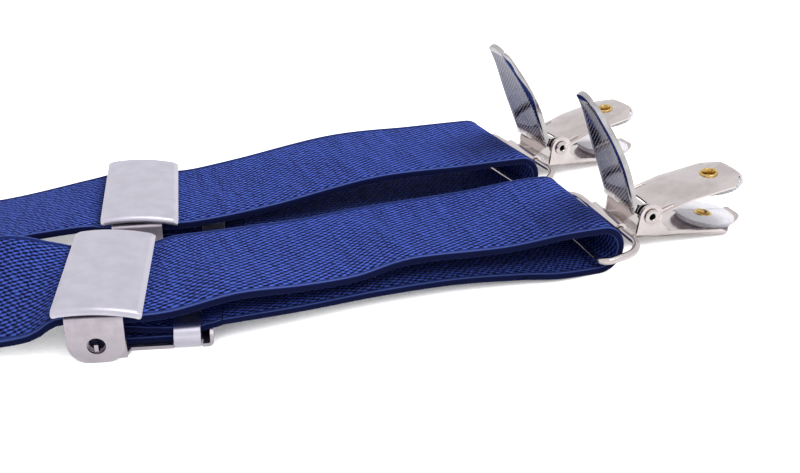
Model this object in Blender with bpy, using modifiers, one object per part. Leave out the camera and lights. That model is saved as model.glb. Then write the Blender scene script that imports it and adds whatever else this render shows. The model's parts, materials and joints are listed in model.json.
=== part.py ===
"""Elastic dress suspenders, laid out flat: two front straps, a leather back patch, one back strap.

Each front strap passes a sliding adjuster, turns round a wire ring and comes back to the adjuster's lever.
Three jaw clips hang on the rings. +X runs from the back patch towards the front clips, +Z is up, and the
origin is on the ground under the middle of the patch.
"""

import math

import bmesh
import bpy
from mathutils import Matrix, Vector

# Sizes are in millimetres. A finished mesh is scaled to metres.
MM = 0.001
GAP = 0.3
WELD = 0.0001
FLOOR = 0.1

# Webbing
WEB_WIDTH = 35.0
WEB_THICK = 1.7
END_THICK = 1.4
END_WIDTH = 29.2
END_REACH = 26.7
END_HEIGHT = 6.0
FOLD_RADIUS = 5.65
FOLD_CENTRE_Z = 6.5
FOLD_STEPS = 9
RUN_STEPS = 5

# Back patch
LEATHER = 1.8
PATCH_FRONT = 34.0
PATCH_BACK = -38.0
PATCH_FRONT_HALF = 41.0
PATCH_BACK_HALF = 22.5
PATCH_CORNER = 9.0
PATCH_WAIST = 6.0
STRAP_IN_PATCH_Z = 2.95

# Adjuster, in its own frame: +X along the strap, origin on the ground under the cover's middle
COVER_LENGTH = 19.2
COVER_WIDTH = 38.2
COVER_TOP = 14.1
COVER_TILT = 4.0
COVER_SHEET = 0.65
EAR_WIDTH = 12.2
EAR_SHEET = 0.7
EAR_OUTER = 18.7
EAR_HOLE = 4.0
LEVER_AXIS_Z = 4.25
LEVER_SHEET = 0.8
LEVER_END = 24.5
LEVER_LIP_TOP = 3.8
CAM_TOP = 8.4
WEB_BAR_X = 4.5
WEB_BAR_Z = 3.6
CRIMP_FROM = 15.9
CRIMP_TO = 21.8
STRAP_IN_ADJUSTER_Z = 9.6

# Clip, in the frame of its rivet: +X towards the tip when closed, origin on the rivet's axis
JAW_HALF = 8.5
JAW_SHEET = 0.7
JAW_STRAIGHT = 26.0
LOWER_REACH = 33.2
UPPER_REACH = 31.2
LOWER_PLANE = -6.2
RIVET_RADIUS = 1.5
EYELET_X = 23.4
PAD_THICK = 1.65
PAD_LONG = 7.3
PAD_ACROSS = 7.4
PAD_SHIFT = 0.9
JAW_OPEN = 21.0
LEVER_LEAF_Z = 4.35
LEVER_LEAF_THICK = 0.9
JAW_BEND_X = 12.8
JAW_BEND_Z = 0.85
JAW_FALL = 1.3
JAW_LIP = 3.6
CLIP_LEVER_LENGTH = 37.4
WIRE_RADIUS = 1.0
RING_LEG = 19.2
RING_REACH = 11.9
RING_RISE = 2.0
CURL_TO_RIVET = (7.9, 4.3)

# Finer sizes of the adjuster
ARCH_STEPS = 4
ARCH_RISE = 0.45
BEVEL_STRIP = 1.3
BEVEL_DROP = 1.0
EAR_CORNER = 4.2
FRAME_PLATE_HALF = 7.0
FRAME_PLATE_THICK = 0.55
CHEEK_Y = 16.8
TRUNNION_RADIUS = 1.3
TRUNNION_FROM = 16.6
TRUNNION_TO = 18.9
WEB_BAR_RADIUS = 0.6
WEB_BAR_HALF = 17.0
CAM_ROOT = 1.5
CAM_THICK = 1.0
TOOTH_PITCH = 1.35
TOOTH_DEPTH = 0.7
TEETH_PER_SIDE = 12
CRIMP_SLOT_HALF = 12.6
LIP_CORNER = 1.5
CRIMP_TOP = 5.75
CRIMP_WALL = 0.55
CRIMP_OUTSIDE = [(12.9, FLOOR), (14.4, FLOOR), (15.5, 1.0), (15.8, 3.0), (15.5, 4.9), (14.4, CRIMP_TOP)]
CRIMP_INSIDE = [(14.1, CRIMP_TOP - CRIMP_WALL), (14.95, 4.6), (15.25, 3.0), (14.95, 1.25)]
CHEEK_FRONT = [(6.0, 0.2), (2.2, 2.0)]
CAM_SHOULDER = 1.2
CAM_SHOULDER_DROP = 0.8
PLATE_SHOULDER = [(2.2, 17.1), (5.8, 17.1)]
END_SLOPE = [(24.9, 5.4), (23.1, 4.7)]
UPPER_PLY_Z = 4.3
LOWER_PLY_Z = 2.2
BAR_CLEARANCE = 0.25
END_TRIM = 0.55

# Finer sizes of the clip
LOWER_NOSE = 3.6
UPPER_NOSE = 4.2
BASE_EAR_RADIUS = 3.4
JAW_EAR_RADIUS = 2.7
JAW_EAR_Y = 7.1
LEVER_EAR_RADIUS = 2.6
LEVER_EAR_Y = 5.9
LEVER_ROOT = 2.4
PIN_CLEARANCE = 0.15
EYELET_HOLE = 2.0
CURL_HALF = 7.2
CURL_CLEARANCE = 0.2
TIP_HALF = 3.5
UPPER_LIP_HALF = 3.9
RIVET_HALF = 9.2
RIVET_HEAD_RADIUS = 2.1
RIVET_HEAD_HALF = 0.25
FLANGE_RADIUS = 2.6
BARREL_RADIUS = 1.7
BARREL_BORE = 1.25
FLANGE_THICK = 0.35
RING_CORNER = 3.2
BASE_REAR = -3.3
BASE_EAR_FRONT = 25.0
BASE_EAR_SLOPE = [(3.9, -0.9), (5.8, -4.0), (9.0, -4.6), (BASE_EAR_FRONT, -4.7)]
JAW_EAR_FRONT = [(6.5, -0.6), (7.5, 0.6), (4.2, 0.6)]
JAW_REAR = (3.9, 0.45)
LEAF_RISE = 0.005
LEAF_RISE_FROM = 9.0
LEAF_ROOT_HALF = 7.6
LEAF_SWELL = 1.0
LEAF_NARROWING = 8.0
PAD_SIDES = 28

# Where the assemblies lie: place and turn of each adjuster; and for each clip, the place and turn of its
# ring's bar inside the strap loop, the tilt of its base and how far its lever stands open
ADJUSTERS = {
    "right": ((512.0, -23.2), -12.9),
    "left": ((525.6, 19.2), -9.5),
}
RING_HEIGHT = 4.2
CLIPS = {
    "right": ((631.5, -23.7), -1.0, -6.0, 115.0),
    "left": ((631.3, 24.2), 7.5, -5.3, 117.0),
    "back": ((-196.0, 0.0), 180.0, -6.0, 115.0),
}

# Strap routes: x, y and z of the middle line, heading in the plan, width, and sideways roll
RIGHT_ROUTE = [
    (2.0, -18.4, STRAP_IN_PATCH_Z, -3.0, WEB_WIDTH, 0.0),
    (45.0, -19.8, STRAP_IN_PATCH_Z, -3.0, WEB_WIDTH, 0.0),
    (100.0, -21.5, 1.1, 0.0, WEB_WIDTH, 0.0),
    (200.0, -19.0, 1.0, 4.0, WEB_WIDTH, 0.0),
    (300.0, -11.0, 1.0, 5.0, WEB_WIDTH, 0.0),
    (380.0, -6.0, 1.0, 0.0, WEB_WIDTH, 0.0),
    (430.0, -8.0, 1.8, -6.0, WEB_WIDTH, 2.0),
    (464.0, -12.0, 5.0, -10.0, WEB_WIDTH, 13.0),
    (486.5, -16.5, 8.3, -13.0, WEB_WIDTH, 17.0),
    (498.3, -20.4, 8.8, -12.9, WEB_WIDTH, 9.0),
    (504.2, -21.4, STRAP_IN_ADJUSTER_Z, -12.9, WEB_WIDTH, 0.0),
    (512.0, -23.2, STRAP_IN_ADJUSTER_Z, -12.9, WEB_WIDTH, 0.0),
    (519.8, -25.0, STRAP_IN_ADJUSTER_Z, -12.9, WEB_WIDTH, 0.0),
    (527.0, -26.0, 10.5, -10.0, WEB_WIDTH, 2.0),
    (538.0, -25.3, 11.0, 1.0, WEB_WIDTH, -1.5),
    (552.0, -23.0, 9.4, 6.0, WEB_WIDTH, 0.0),
    (566.0, -21.4, 8.6, 5.0, WEB_WIDTH, -0.2),
    (582.0, -19.5, 9.2, 1.0, WEB_WIDTH, -2.4),
    (607.0, -21.5, 10.0, -5.0, WEB_WIDTH, 0.0),
    (622.0, -23.0, 11.8, -3.0, WEB_WIDTH, 0.0),
]
RIGHT_FOLD = ((632.0, -23.5), 0.0)
RIGHT_RETURN = [
    (619.0, -24.6, 1.9, 3.0, WEB_WIDTH, 0.0),
    (608.0, -23.4, 2.8, 4.0, WEB_WIDTH, 0.0),
    (592.0, -21.8, 3.6, 1.0, WEB_WIDTH, 0.0),
    (574.0, -22.0, 3.9, -4.0, 34.5, 0.0),
    (556.0, -25.0, 4.5, -9.0, 32.5, 0.0),
]
LEFT_ROUTE = [
    (2.0, 18.4, STRAP_IN_PATCH_Z, 3.0, WEB_WIDTH, 0.0),
    (45.0, 20.6, STRAP_IN_PATCH_Z, 4.0, WEB_WIDTH, 0.0),
    (100.0, 25.0, 1.1, 5.0, WEB_WIDTH, 0.0),
    (200.0, 31.0, 1.0, 4.0, WEB_WIDTH, 0.0),
    (300.0, 36.0, 1.0, 1.0, WEB_WIDTH, 0.0),
    (380.0, 36.2, 1.0, -2.0, WEB_WIDTH, 0.0),
    (430.0, 33.5, 1.5, -5.0, WEB_WIDTH, -2.0),
    (465.0, 29.2, 3.4, -8.0, WEB_WIDTH, -2.0),
    (488.0, 25.6, 5.6, -9.5, WEB_WIDTH, -6.0),
    (511.7, 21.5, 9.3, -9.5, WEB_WIDTH, -3.0),
    (517.7, 20.5, STRAP_IN_ADJUSTER_Z, -9.5, WEB_WIDTH, 0.0),
    (525.6, 19.2, STRAP_IN_ADJUSTER_Z, -9.5, WEB_WIDTH, 0.0),
    (533.5, 17.9, STRAP_IN_ADJUSTER_Z, -9.5, WEB_WIDTH, 0.0),
    (541.0, 16.9, 9.9, -6.0, WEB_WIDTH, 0.0),
    (557.0, 18.0, 11.0, 3.0, WEB_WIDTH, 0.0),
    (585.7, 21.2, 13.6, 4.0, WEB_WIDTH, 0.0),
    (610.8, 22.4, 13.0, 3.0, WEB_WIDTH, 0.0),
    (622.0, 23.3, 12.6, 5.0, WEB_WIDTH, 0.0),
]
LEFT_FOLD = ((631.3, 24.2), 5.0)
LEFT_RETURN = [
    (618.0, 23.0, 0.95, 5.0, WEB_WIDTH, 0.0),
    (604.0, 21.8, 1.4, 4.0, WEB_WIDTH, 0.0),
    (588.0, 20.0, 2.8, 2.0, 34.0, 0.0),
    (570.0, 17.4, 4.4, -5.0, 32.0, 0.0),
]
BACK_ROUTE = [
    (-2.0, 0.0, STRAP_IN_PATCH_Z, 180.0, WEB_WIDTH, 0.0),
    (-45.0, 0.0, STRAP_IN_PATCH_Z, 180.0, WEB_WIDTH, 0.0),
    (-90.0, 0.0, 1.1, 180.0, WEB_WIDTH, 0.0),
    (-140.0, 0.0, 0.95, 180.0, WEB_WIDTH, 0.0),
    (-183.0, 0.0, 0.95, 180.0, WEB_WIDTH, 0.0),
]
BACK_FOLD = ((-196.0, 0.0), 180.0)
BACK_RETURN = [
    (-184.0, 0.0, 10.4, 180.0, WEB_WIDTH, 0.0),
    (-166.0, 0.0, 4.2, 180.0, WEB_WIDTH, 0.0),
    (-150.0, 0.0, 2.95, 180.0, WEB_WIDTH, 0.0),
    (-132.0, 0.0, 2.95, 180.0, WEB_WIDTH, 0.0),
]

NAVY = (0.022, 0.045, 0.215)
FINISHES = {
    "webbing": (NAVY, 0.85, 0.0),
    "leather": ((0.015, 0.014, 0.016), 0.5, 0.0),
    "satin_nickel": ((0.72, 0.71, 0.73), 0.32, 1.0),
    "bright_nickel": ((0.74, 0.71, 0.70), 0.2, 1.0),
    "chrome": ((0.82, 0.82, 0.84), 0.08, 1.0),
    "clear_plastic": ((0.82, 0.83, 0.88), 0.35, 0.0),
    "brass": ((0.83, 0.6, 0.22), 0.22, 1.0),
}


def clear_scene():
    for obj in list(bpy.data.objects):
        bpy.data.objects.remove(obj, do_unlink=True)


def collection(name):
    made = bpy.data.collections.new(name)
    bpy.context.scene.collection.children.link(made)
    return made


def material(finish):
    if finish in bpy.data.materials:
        return bpy.data.materials[finish]
    colour, roughness, metallic = FINISHES[finish]
    made = bpy.data.materials.new(finish)
    made.use_nodes = True
    shader = made.node_tree.nodes["Principled BSDF"]
    shader.inputs["Base Color"].default_value = (*colour, 1.0)
    shader.inputs["Roughness"].default_value = roughness
    shader.inputs["Metallic"].default_value = metallic
    made.diffuse_color = (*colour, 1.0)
    return made


def arc(centre, radius, start, end, steps):
    """Points round a centre from one angle to another, both in degrees."""
    points = []
    for step in range(steps + 1):
        angle = math.radians(start + (end - start) * step / steps)
        points.append((centre[0] + radius * math.cos(angle), centre[1] + radius * math.sin(angle)))
    return points


def temporary(mesh):
    obj = bpy.data.objects.new("temporary", mesh)
    bpy.context.scene.collection.objects.link(obj)
    return obj


def evaluated_mesh(obj):
    """The object's mesh with its modifiers applied; the object is removed."""
    bpy.context.view_layer.update()
    graph = bpy.context.evaluated_depsgraph_get()
    mesh = bpy.data.meshes.new_from_object(obj.evaluated_get(graph))
    bpy.data.objects.remove(obj, do_unlink=True)
    return mesh


def weld(mesh):
    bm = bmesh.new()
    bm.from_mesh(mesh)
    bmesh.ops.remove_doubles(bm, verts=bm.verts, dist=WELD)
    bmesh.ops.recalc_face_normals(bm, faces=bm.faces)
    bm.to_mesh(mesh)
    bm.free()
    return mesh


def sheet(outlines, thickness, plane="XY", offset=0.0):
    """A flat sheet from its outline and holes, centred on a plane at the given offset."""
    curve = bpy.data.curves.new("outline", "CURVE")
    curve.dimensions = "2D"
    curve.fill_mode = "BOTH"
    curve.extrude = thickness / 2
    for outline in outlines:
        spline = curve.splines.new("POLY")
        spline.points.add(len(outline) - 1)
        for point, (x, y) in zip(spline.points, outline):
            point.co = (x, y, 0.0, 1.0)
        spline.use_cyclic_u = True
    mesh = weld(evaluated_mesh(temporary(curve)))
    turn = Matrix.Identity(4)
    if plane == "XZ":
        turn = Matrix.Rotation(math.radians(90), 4, "X")
    elif plane == "YZ":
        turn = Matrix(((0, 0, 1, 0), (1, 0, 0, 0), (0, 1, 0, 0), (0, 0, 0, 1)))
    shift = {"XY": (0, 0, offset), "XZ": (0, offset, 0), "YZ": (offset, 0, 0)}[plane]
    mesh.transform(Matrix.Translation(shift) @ turn)
    return mesh


def strip(line, thickness, half_width, offset=0.0):
    """A bent strip: a line in the XZ plane, thickened and made as wide as wanted along Y."""
    bm = bmesh.new()
    edge = [bm.verts.new((line[0][0], side * half_width + offset, line[0][1])) for side in (-1, 1)]
    edge = [bm.edges.new(edge)]
    for before, after in zip(line, line[1:]):
        grown = bmesh.ops.extrude_edge_only(bm, edges=edge)["geom"]
        verts = [part for part in grown if isinstance(part, bmesh.types.BMVert)]
        step = Vector((after[0] - before[0], 0.0, after[1] - before[1]))
        bmesh.ops.translate(bm, verts=verts, vec=step)
        edge = [part for part in grown if isinstance(part, bmesh.types.BMEdge)]
    mesh = bpy.data.meshes.new("strip")
    bm.to_mesh(mesh)
    bm.free()
    obj = temporary(mesh)
    solid = obj.modifiers.new("thickness", "SOLIDIFY")
    solid.thickness = thickness
    solid.offset = 0.0
    solid.use_even_offset = True
    return weld(evaluated_mesh(obj))


def box(low, high):
    bm = bmesh.new()
    bmesh.ops.create_cube(bm, size=1.0)
    size = [b - a for a, b in zip(low, high)]
    bmesh.ops.scale(bm, verts=bm.verts, vec=size)
    middle = [(a + b) / 2 for a, b in zip(low, high)]
    bmesh.ops.translate(bm, verts=bm.verts, vec=middle)
    mesh = bpy.data.meshes.new("box")
    bm.to_mesh(mesh)
    bm.free()
    return mesh


def rod(x, z, radius, low_y, high_y, sides=16):
    """A round bar along Y."""
    bm = bmesh.new()
    length = high_y - low_y
    turn = Matrix.Rotation(math.radians(90), 4, "X")
    place = Matrix.Translation((x, (low_y + high_y) / 2, z)) @ turn
    bmesh.ops.create_cone(
        bm, cap_ends=True, segments=sides, radius1=radius, radius2=radius, depth=length, matrix=place
    )
    mesh = bpy.data.meshes.new("rod")
    bm.to_mesh(mesh)
    bm.free()
    return mesh


def combine(first, others, operation="UNION"):
    """Joins the other meshes to the first, or cuts them from it."""
    body = temporary(first)
    tools = []
    for mesh in others:
        tool = temporary(mesh)
        tools.append(tool)
        boolean = body.modifiers.new("combine", "BOOLEAN")
        boolean.operation = operation
        boolean.solver = "EXACT"
        boolean.object = tool
    mesh = weld(evaluated_mesh(body))
    for tool in tools:
        bpy.data.objects.remove(tool, do_unlink=True)
    return mesh


def finish_mesh(mesh, name, finish):
    """Names a mesh, scales it to metres, shades it and gives it its material."""
    mesh.name = name
    mesh.transform(Matrix.Scale(MM, 4))
    mesh.shade_smooth()
    mesh.set_sharp_from_angle(angle=math.radians(35))
    mesh.materials.clear()
    mesh.materials.append(material(finish))
    return mesh


def place(name, mesh, group, matrix, parent=None):
    obj = bpy.data.objects.new(name, mesh)
    group.objects.link(obj)
    obj.parent = parent
    obj.matrix_local = matrix
    return obj


def pivot(name, group, matrix, parent=None):
    obj = bpy.data.objects.new(name, None)
    obj.empty_display_size = 5 * MM
    group.objects.link(obj)
    obj.parent = parent
    obj.matrix_local = matrix
    return obj


def at(x, y, z, turn=0.0, tilt=0.0):
    """A placement in metres from millimetres, turned about Z and then tilted nose-up about Y."""
    spot = Matrix.Translation((x * MM, y * MM, z * MM))
    return spot @ Matrix.Rotation(math.radians(turn), 4, "Z") @ Matrix.Rotation(math.radians(-tilt), 4, "Y")


# Webbing


def between(rows, position):
    """A smooth curve through the rows of a route, read at a position counted in rows."""
    index = min(int(position), len(rows) - 2)
    t = position - index
    p0, p1 = rows[max(index - 1, 0)], rows[index]
    p2, p3 = rows[index + 1], rows[min(index + 2, len(rows) - 1)]
    values = []
    for a, b, c, d in zip(p0, p1, p2, p3):
        linear = (c - a) / 2
        square = a - 2.5 * b + 2 * c - d / 2
        cube = (d - a) / 2 + 1.5 * (b - c)
        values.append(b + linear * t + square * t**2 + cube * t**3)
    return tuple(values)


def smooth(rows):
    count = (len(rows) - 1) * RUN_STEPS
    return [between(rows, step / RUN_STEPS) for step in range(count + 1)]


def fold(centre, turn, going_down=True):
    """Rows of a half turn round the ring's bar, in a strap that heads along the turn angle."""
    forward = Vector((math.cos(math.radians(turn)), math.sin(math.radians(turn))))
    rows = []
    for step in range(FOLD_STEPS + 1):
        angle = math.radians(90 - 180 * step / FOLD_STEPS)
        if not going_down:
            angle = -angle
        spot = Vector(centre) + forward * FOLD_RADIUS * math.cos(angle)
        height = FOLD_CENTRE_Z + FOLD_RADIUS * math.sin(angle)
        rows.append((spot.x, spot.y, height, turn, WEB_WIDTH, 0.0))
    return rows


def web_mesh(rows, thickness):
    """A ribbon along the rows, two edge points a row, with its thickness added by Solidify."""
    bm = bmesh.new()
    edge = None
    for x, y, z, turn, width, roll in rows:
        heading, lean = math.radians(turn), math.radians(roll)
        level = math.cos(lean)
        across = Vector((-math.sin(heading) * level, math.cos(heading) * level, math.sin(lean)))
        middle = Vector((x, y, z))
        if edge is None:
            ends = [bm.verts.new(middle + across * side * width / 2) for side in (-1, 1)]
            edge = bm.edges.new(ends)
            continue
        grown = bmesh.ops.extrude_edge_only(bm, edges=[edge])["geom"]
        edge = next(part for part in grown if isinstance(part, bmesh.types.BMEdge))
        for vert, side in zip(edge.verts, (-1, 1)):
            vert.co = middle + across * side * width / 2
    mesh = bpy.data.meshes.new("webbing")
    bm.to_mesh(mesh)
    bm.free()
    obj = temporary(mesh)
    solid = obj.modifiers.new("thickness", "SOLIDIFY")
    solid.thickness = thickness
    solid.offset = 0.0
    solid.use_even_offset = True
    return weld(evaluated_mesh(obj))


def meeting_row(side):
    """Where a front strap meets its own end, which is held by the adjuster's lever."""
    (x, y), turn = ADJUSTERS[side]
    reach = END_REACH + 1.6 * GAP
    heading = math.radians(turn)
    spot = (x + reach * math.cos(heading), y + reach * math.sin(heading))
    return (*spot, END_HEIGHT + GAP / 2, turn, END_WIDTH, 0.0)


def strap_rows(route, turn_round, back_run):
    """All the rows of a strap that runs out, turns round its ring and runs back."""
    return smooth(route + turn_round[:1])[:-1] + turn_round + smooth([turn_round[-1]] + back_run)[1:]


def build_straps(group):
    routes = {
        "right_front_strap": (RIGHT_ROUTE, fold(*RIGHT_FOLD), RIGHT_RETURN + [meeting_row("right")]),
        "left_front_strap": (LEFT_ROUTE, fold(*LEFT_FOLD), LEFT_RETURN + [meeting_row("left")]),
        "back_strap": (BACK_ROUTE, fold(*BACK_FOLD, going_down=False), BACK_RETURN),
    }
    for name, parts in routes.items():
        rows = strap_rows(*parts)
        mesh = finish_mesh(web_mesh(rows, WEB_THICK), name, "webbing")
        place(name, mesh, group, Matrix.Identity(4))


# Back patch


def patch_outline():
    """Shield outline: wide over the two front straps, narrow over the back strap."""
    corner = PATCH_CORNER
    front, back = PATCH_FRONT, PATCH_BACK
    wide, narrow = PATCH_FRONT_HALF, PATCH_BACK_HALF
    outline = arc((front - corner, wide - corner), corner, 0, 90, 5)
    outline += [(front - 2 * corner, wide), (0.0, wide - PATCH_WAIST)]
    outline += arc((back + corner, narrow - corner + 1.0), corner, 110, 180, 5)
    outline += [(x, -y) for x, y in reversed(outline)]
    return outline


def build_patch(group):
    upper = STRAP_IN_PATCH_Z + WEB_THICK / 2 + GAP + LEATHER / 2
    levels = {"patch_inner": FLOOR + LEATHER / 2, "patch_outer": upper}
    for name, height in levels.items():
        mesh = finish_mesh(sheet([patch_outline()], LEATHER, "XY", height), name, "leather")
        place(name, mesh, group, Matrix.Identity(4))


# Adjuster


def cover_mesh():
    """Decorative plate: a low arch along the strap with a bevelled lip at each end."""
    half, middle = COVER_LENGTH / 2, COVER_TOP - COVER_SHEET / 2
    arch = []
    for step in range(-ARCH_STEPS, ARCH_STEPS + 1):
        x = step / ARCH_STEPS * (half - BEVEL_STRIP)
        arch.append((x, middle - ARCH_RISE * (x / half) ** 2))
    lip_z = middle - BEVEL_DROP
    line = [(-half + COVER_SHEET / 2, lip_z)] + arch + [(half - COVER_SHEET / 2, lip_z)]
    return strip(line, COVER_SHEET, COVER_WIDTH / 2)


def ear_outline():
    half, corner = EAR_WIDTH / 2, EAR_CORNER
    top = STRAP_IN_ADJUSTER_Z + WEB_THICK / 2 + 2 * GAP
    bottom = FLOOR
    outline = [(half, top), (-half, top)]
    outline += arc((-half + corner, bottom + corner), corner, 180, 270, 5)
    outline += arc((half - corner, bottom + corner), corner, 270, 360, 5)
    return outline


def frame_mesh():
    """Channel over the strap: a top plate with an ear down each side, holed for the lever."""
    hole = arc((0.0, LEVER_AXIS_Z), EAR_HOLE / 2, 360, 0, 16)[:-1]
    middle = EAR_OUTER - EAR_SHEET / 2
    ears = [sheet([ear_outline(), hole], EAR_SHEET, "XZ", side * middle) for side in (-1, 1)]
    top = STRAP_IN_ADJUSTER_Z + WEB_THICK / 2 + GAP
    corner = (FRAME_PLATE_HALF, EAR_OUTER, top + FRAME_PLATE_THICK)
    plate = box((-FRAME_PLATE_HALF, -EAR_OUTER, top), corner)
    return combine(plate, ears)


def adjuster_lever_mesh():
    """Lever about its trunnions: cheeks, toothed cam, web bar, plate and turned-up end."""
    axis = LEVER_AXIS_Z
    low = FLOOR - axis
    plate_z = low + LEVER_SHEET / 2
    shoulder = CAM_TOP - axis - CAM_SHOULDER_DROP
    cheek = [(-2.0, -1.6), (1.5, low), (6.0, low)] + CHEEK_FRONT
    cheek += [(CAM_SHOULDER, shoulder), (-CAM_SHOULDER, shoulder), (-2.0, 1.0)]
    others = [sheet([cheek], LEVER_SHEET, "XZ", side * CHEEK_Y) for side in (-1, 1)]
    others.append(rod(0.0, 0.0, TRUNNION_RADIUS, -TRUNNION_TO, -TRUNNION_FROM))
    others.append(rod(0.0, 0.0, TRUNNION_RADIUS, TRUNNION_FROM, TRUNNION_TO))
    others.append(rod(WEB_BAR_X, WEB_BAR_Z - axis, WEB_BAR_RADIUS, -WEB_BAR_HALF, WEB_BAR_HALF, 12))
    cam_high = CAM_TOP - axis
    teeth = [(-WEB_BAR_HALF, CAM_ROOT), (WEB_BAR_HALF, CAM_ROOT)]
    for tooth in range(TEETH_PER_SIDE, -TEETH_PER_SIDE - 1, -1):
        teeth.append((tooth * TOOTH_PITCH, cam_high if tooth % 2 else cam_high - TOOTH_DEPTH))
    others.append(sheet([teeth], CAM_THICK, "YZ", 0.0))
    crimp_slot = CRIMP_SLOT_HALF
    half = END_WIDTH / 2
    side = PLATE_SHOULDER + [(6.6, half), (CRIMP_FROM - GAP, half), (CRIMP_FROM - GAP, crimp_slot)]
    side += [(CRIMP_TO + GAP, crimp_slot), (CRIMP_TO + GAP, half), (LEVER_END, half)]
    outline = side + [(x, -y) for x, y in reversed(side)]
    plate = sheet([outline], LEVER_SHEET, "XY", plate_z)
    high = LEVER_LIP_TOP - axis
    lip = [(-half, low), (half, low), (half, high - LIP_CORNER), (half - LIP_CORNER, high)]
    lip += [(-half + LIP_CORNER, high), (-half, high - LIP_CORNER)]
    others.append(sheet([lip], LEVER_SHEET, "YZ", LEVER_END - LEVER_SHEET / 2))
    return combine(plate, others)


def crimp_mesh():
    """Band pressed over the two plies, with its ends curled down to the lever plate's underside."""
    inside = CRIMP_INSIDE + [(14.2, FLOOR + CRIMP_WALL), (12.9, FLOOR + CRIMP_WALL)]
    half = [(y, z - LEVER_AXIS_Z) for y, z in CRIMP_OUTSIDE]
    back = [(y, z - LEVER_AXIS_Z) for y, z in inside]
    outline = half + [(-y, z) for y, z in reversed(half)]
    outline += [(-y, z) for y, z in reversed(back)] + back
    middle = (CRIMP_FROM + CRIMP_TO) / 2
    return sheet([outline], CRIMP_TO - CRIMP_FROM, "YZ", middle)


def strap_end_mesh():
    """Webbing end folded round the lever's bar, both plies inside the crimp."""
    radius = WEB_BAR_RADIUS + BAR_CLEARANCE + END_THICK / 2
    upper, lower = UPPER_PLY_Z, LOWER_PLY_Z
    line = [(END_REACH, END_HEIGHT)] + END_SLOPE + [(CRIMP_TO, upper + 0.05), (CRIMP_FROM, upper)]
    line += [(11.0, 4.6), (7.2, WEB_BAR_Z + radius * 0.95)]
    line += arc((WEB_BAR_X, WEB_BAR_Z), radius, 90, 270, 8)
    line += [(7.2, WEB_BAR_Z - radius), (CRIMP_FROM, lower - 0.05), (CRIMP_TO, lower)]
    return strip([(x, z - LEVER_AXIS_Z) for x, z in line], END_THICK, END_WIDTH / 2 - END_TRIM)


def build_adjusters(group):
    cover = finish_mesh(cover_mesh(), "adjuster_cover", "satin_nickel")
    frame = finish_mesh(frame_mesh(), "adjuster_frame", "satin_nickel")
    lever = finish_mesh(adjuster_lever_mesh(), "adjuster_lever", "satin_nickel")
    crimp = finish_mesh(crimp_mesh(), "end_crimp", "satin_nickel")
    strap_end = finish_mesh(strap_end_mesh(), "strap_end", "webbing")
    for side, ((x, y), turn) in ADJUSTERS.items():
        place(side + "_adjuster_cover", cover, group, at(x, y, 0.0, turn, -COVER_TILT))
        place(side + "_adjuster_frame", frame, group, at(x, y, 0.0, turn))
        axis = pivot(side + "_adjuster_axis", group, at(x, y, LEVER_AXIS_Z, turn))
        for name, mesh in (("adjuster_lever", lever), ("end_crimp", crimp), ("strap_end", strap_end)):
            place(side + "_" + name, mesh, group, Matrix.Identity(4), axis)


# Clip


def jaw_outline(start, reach, nose, half=JAW_HALF):
    side = [(start, half), (JAW_STRAIGHT, half), (reach, nose)]
    outline = side + [(x, -y) for x, y in reversed(side)]
    hole = arc((EYELET_X, 0.0), EYELET_HOLE, 360, 0, 16)[:-1]
    return [outline, hole]


def base_mesh():
    """Lower jaw: floor plate, domed ears, turned-up tip, and a tongue curled round the ring's bar."""
    floor_z = LOWER_PLANE + JAW_SHEET / 2
    plate = sheet(jaw_outline(BASE_REAR, LOWER_REACH, LOWER_NOSE), JAW_SHEET, "XY", floor_z)
    ear = arc((0.0, 0.0), BASE_EAR_RADIUS, 190, 10, 10)
    ear += BASE_EAR_SLOPE + [(BASE_EAR_FRONT, LOWER_PLANE), (BASE_REAR, LOWER_PLANE)]
    hole = arc((0.0, 0.0), RIVET_RADIUS + PIN_CLEARANCE, 360, 0, 16)[:-1]
    middle = JAW_HALF - JAW_SHEET / 2
    others = [sheet([ear, hole], JAW_SHEET, "XZ", side * middle) for side in (-1, 1)]
    curl_x, curl_z = -CURL_TO_RIVET[0], -CURL_TO_RIVET[1]
    curl_radius = WIRE_RADIUS + CURL_CLEARANCE + JAW_SHEET / 2
    line = [(1.0, floor_z), (-3.0, floor_z)] + arc((curl_x, curl_z), curl_radius, 270, 15, 14)
    others.append(strip(line, JAW_SHEET, CURL_HALF))
    tip = [(LOWER_REACH - 3.0, floor_z), (LOWER_REACH - 0.6, floor_z + 0.2)]
    tip.append((LOWER_REACH + 0.6, floor_z + 1.7))
    others.append(strip(tip, JAW_SHEET, TIP_HALF))
    return combine(plate, others)


def jaw_slope():
    """How steeply the front of the upper jaw falls away past its bend."""
    return math.atan2(JAW_FALL, JAW_STRAIGHT - JAW_BEND_X)


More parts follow.
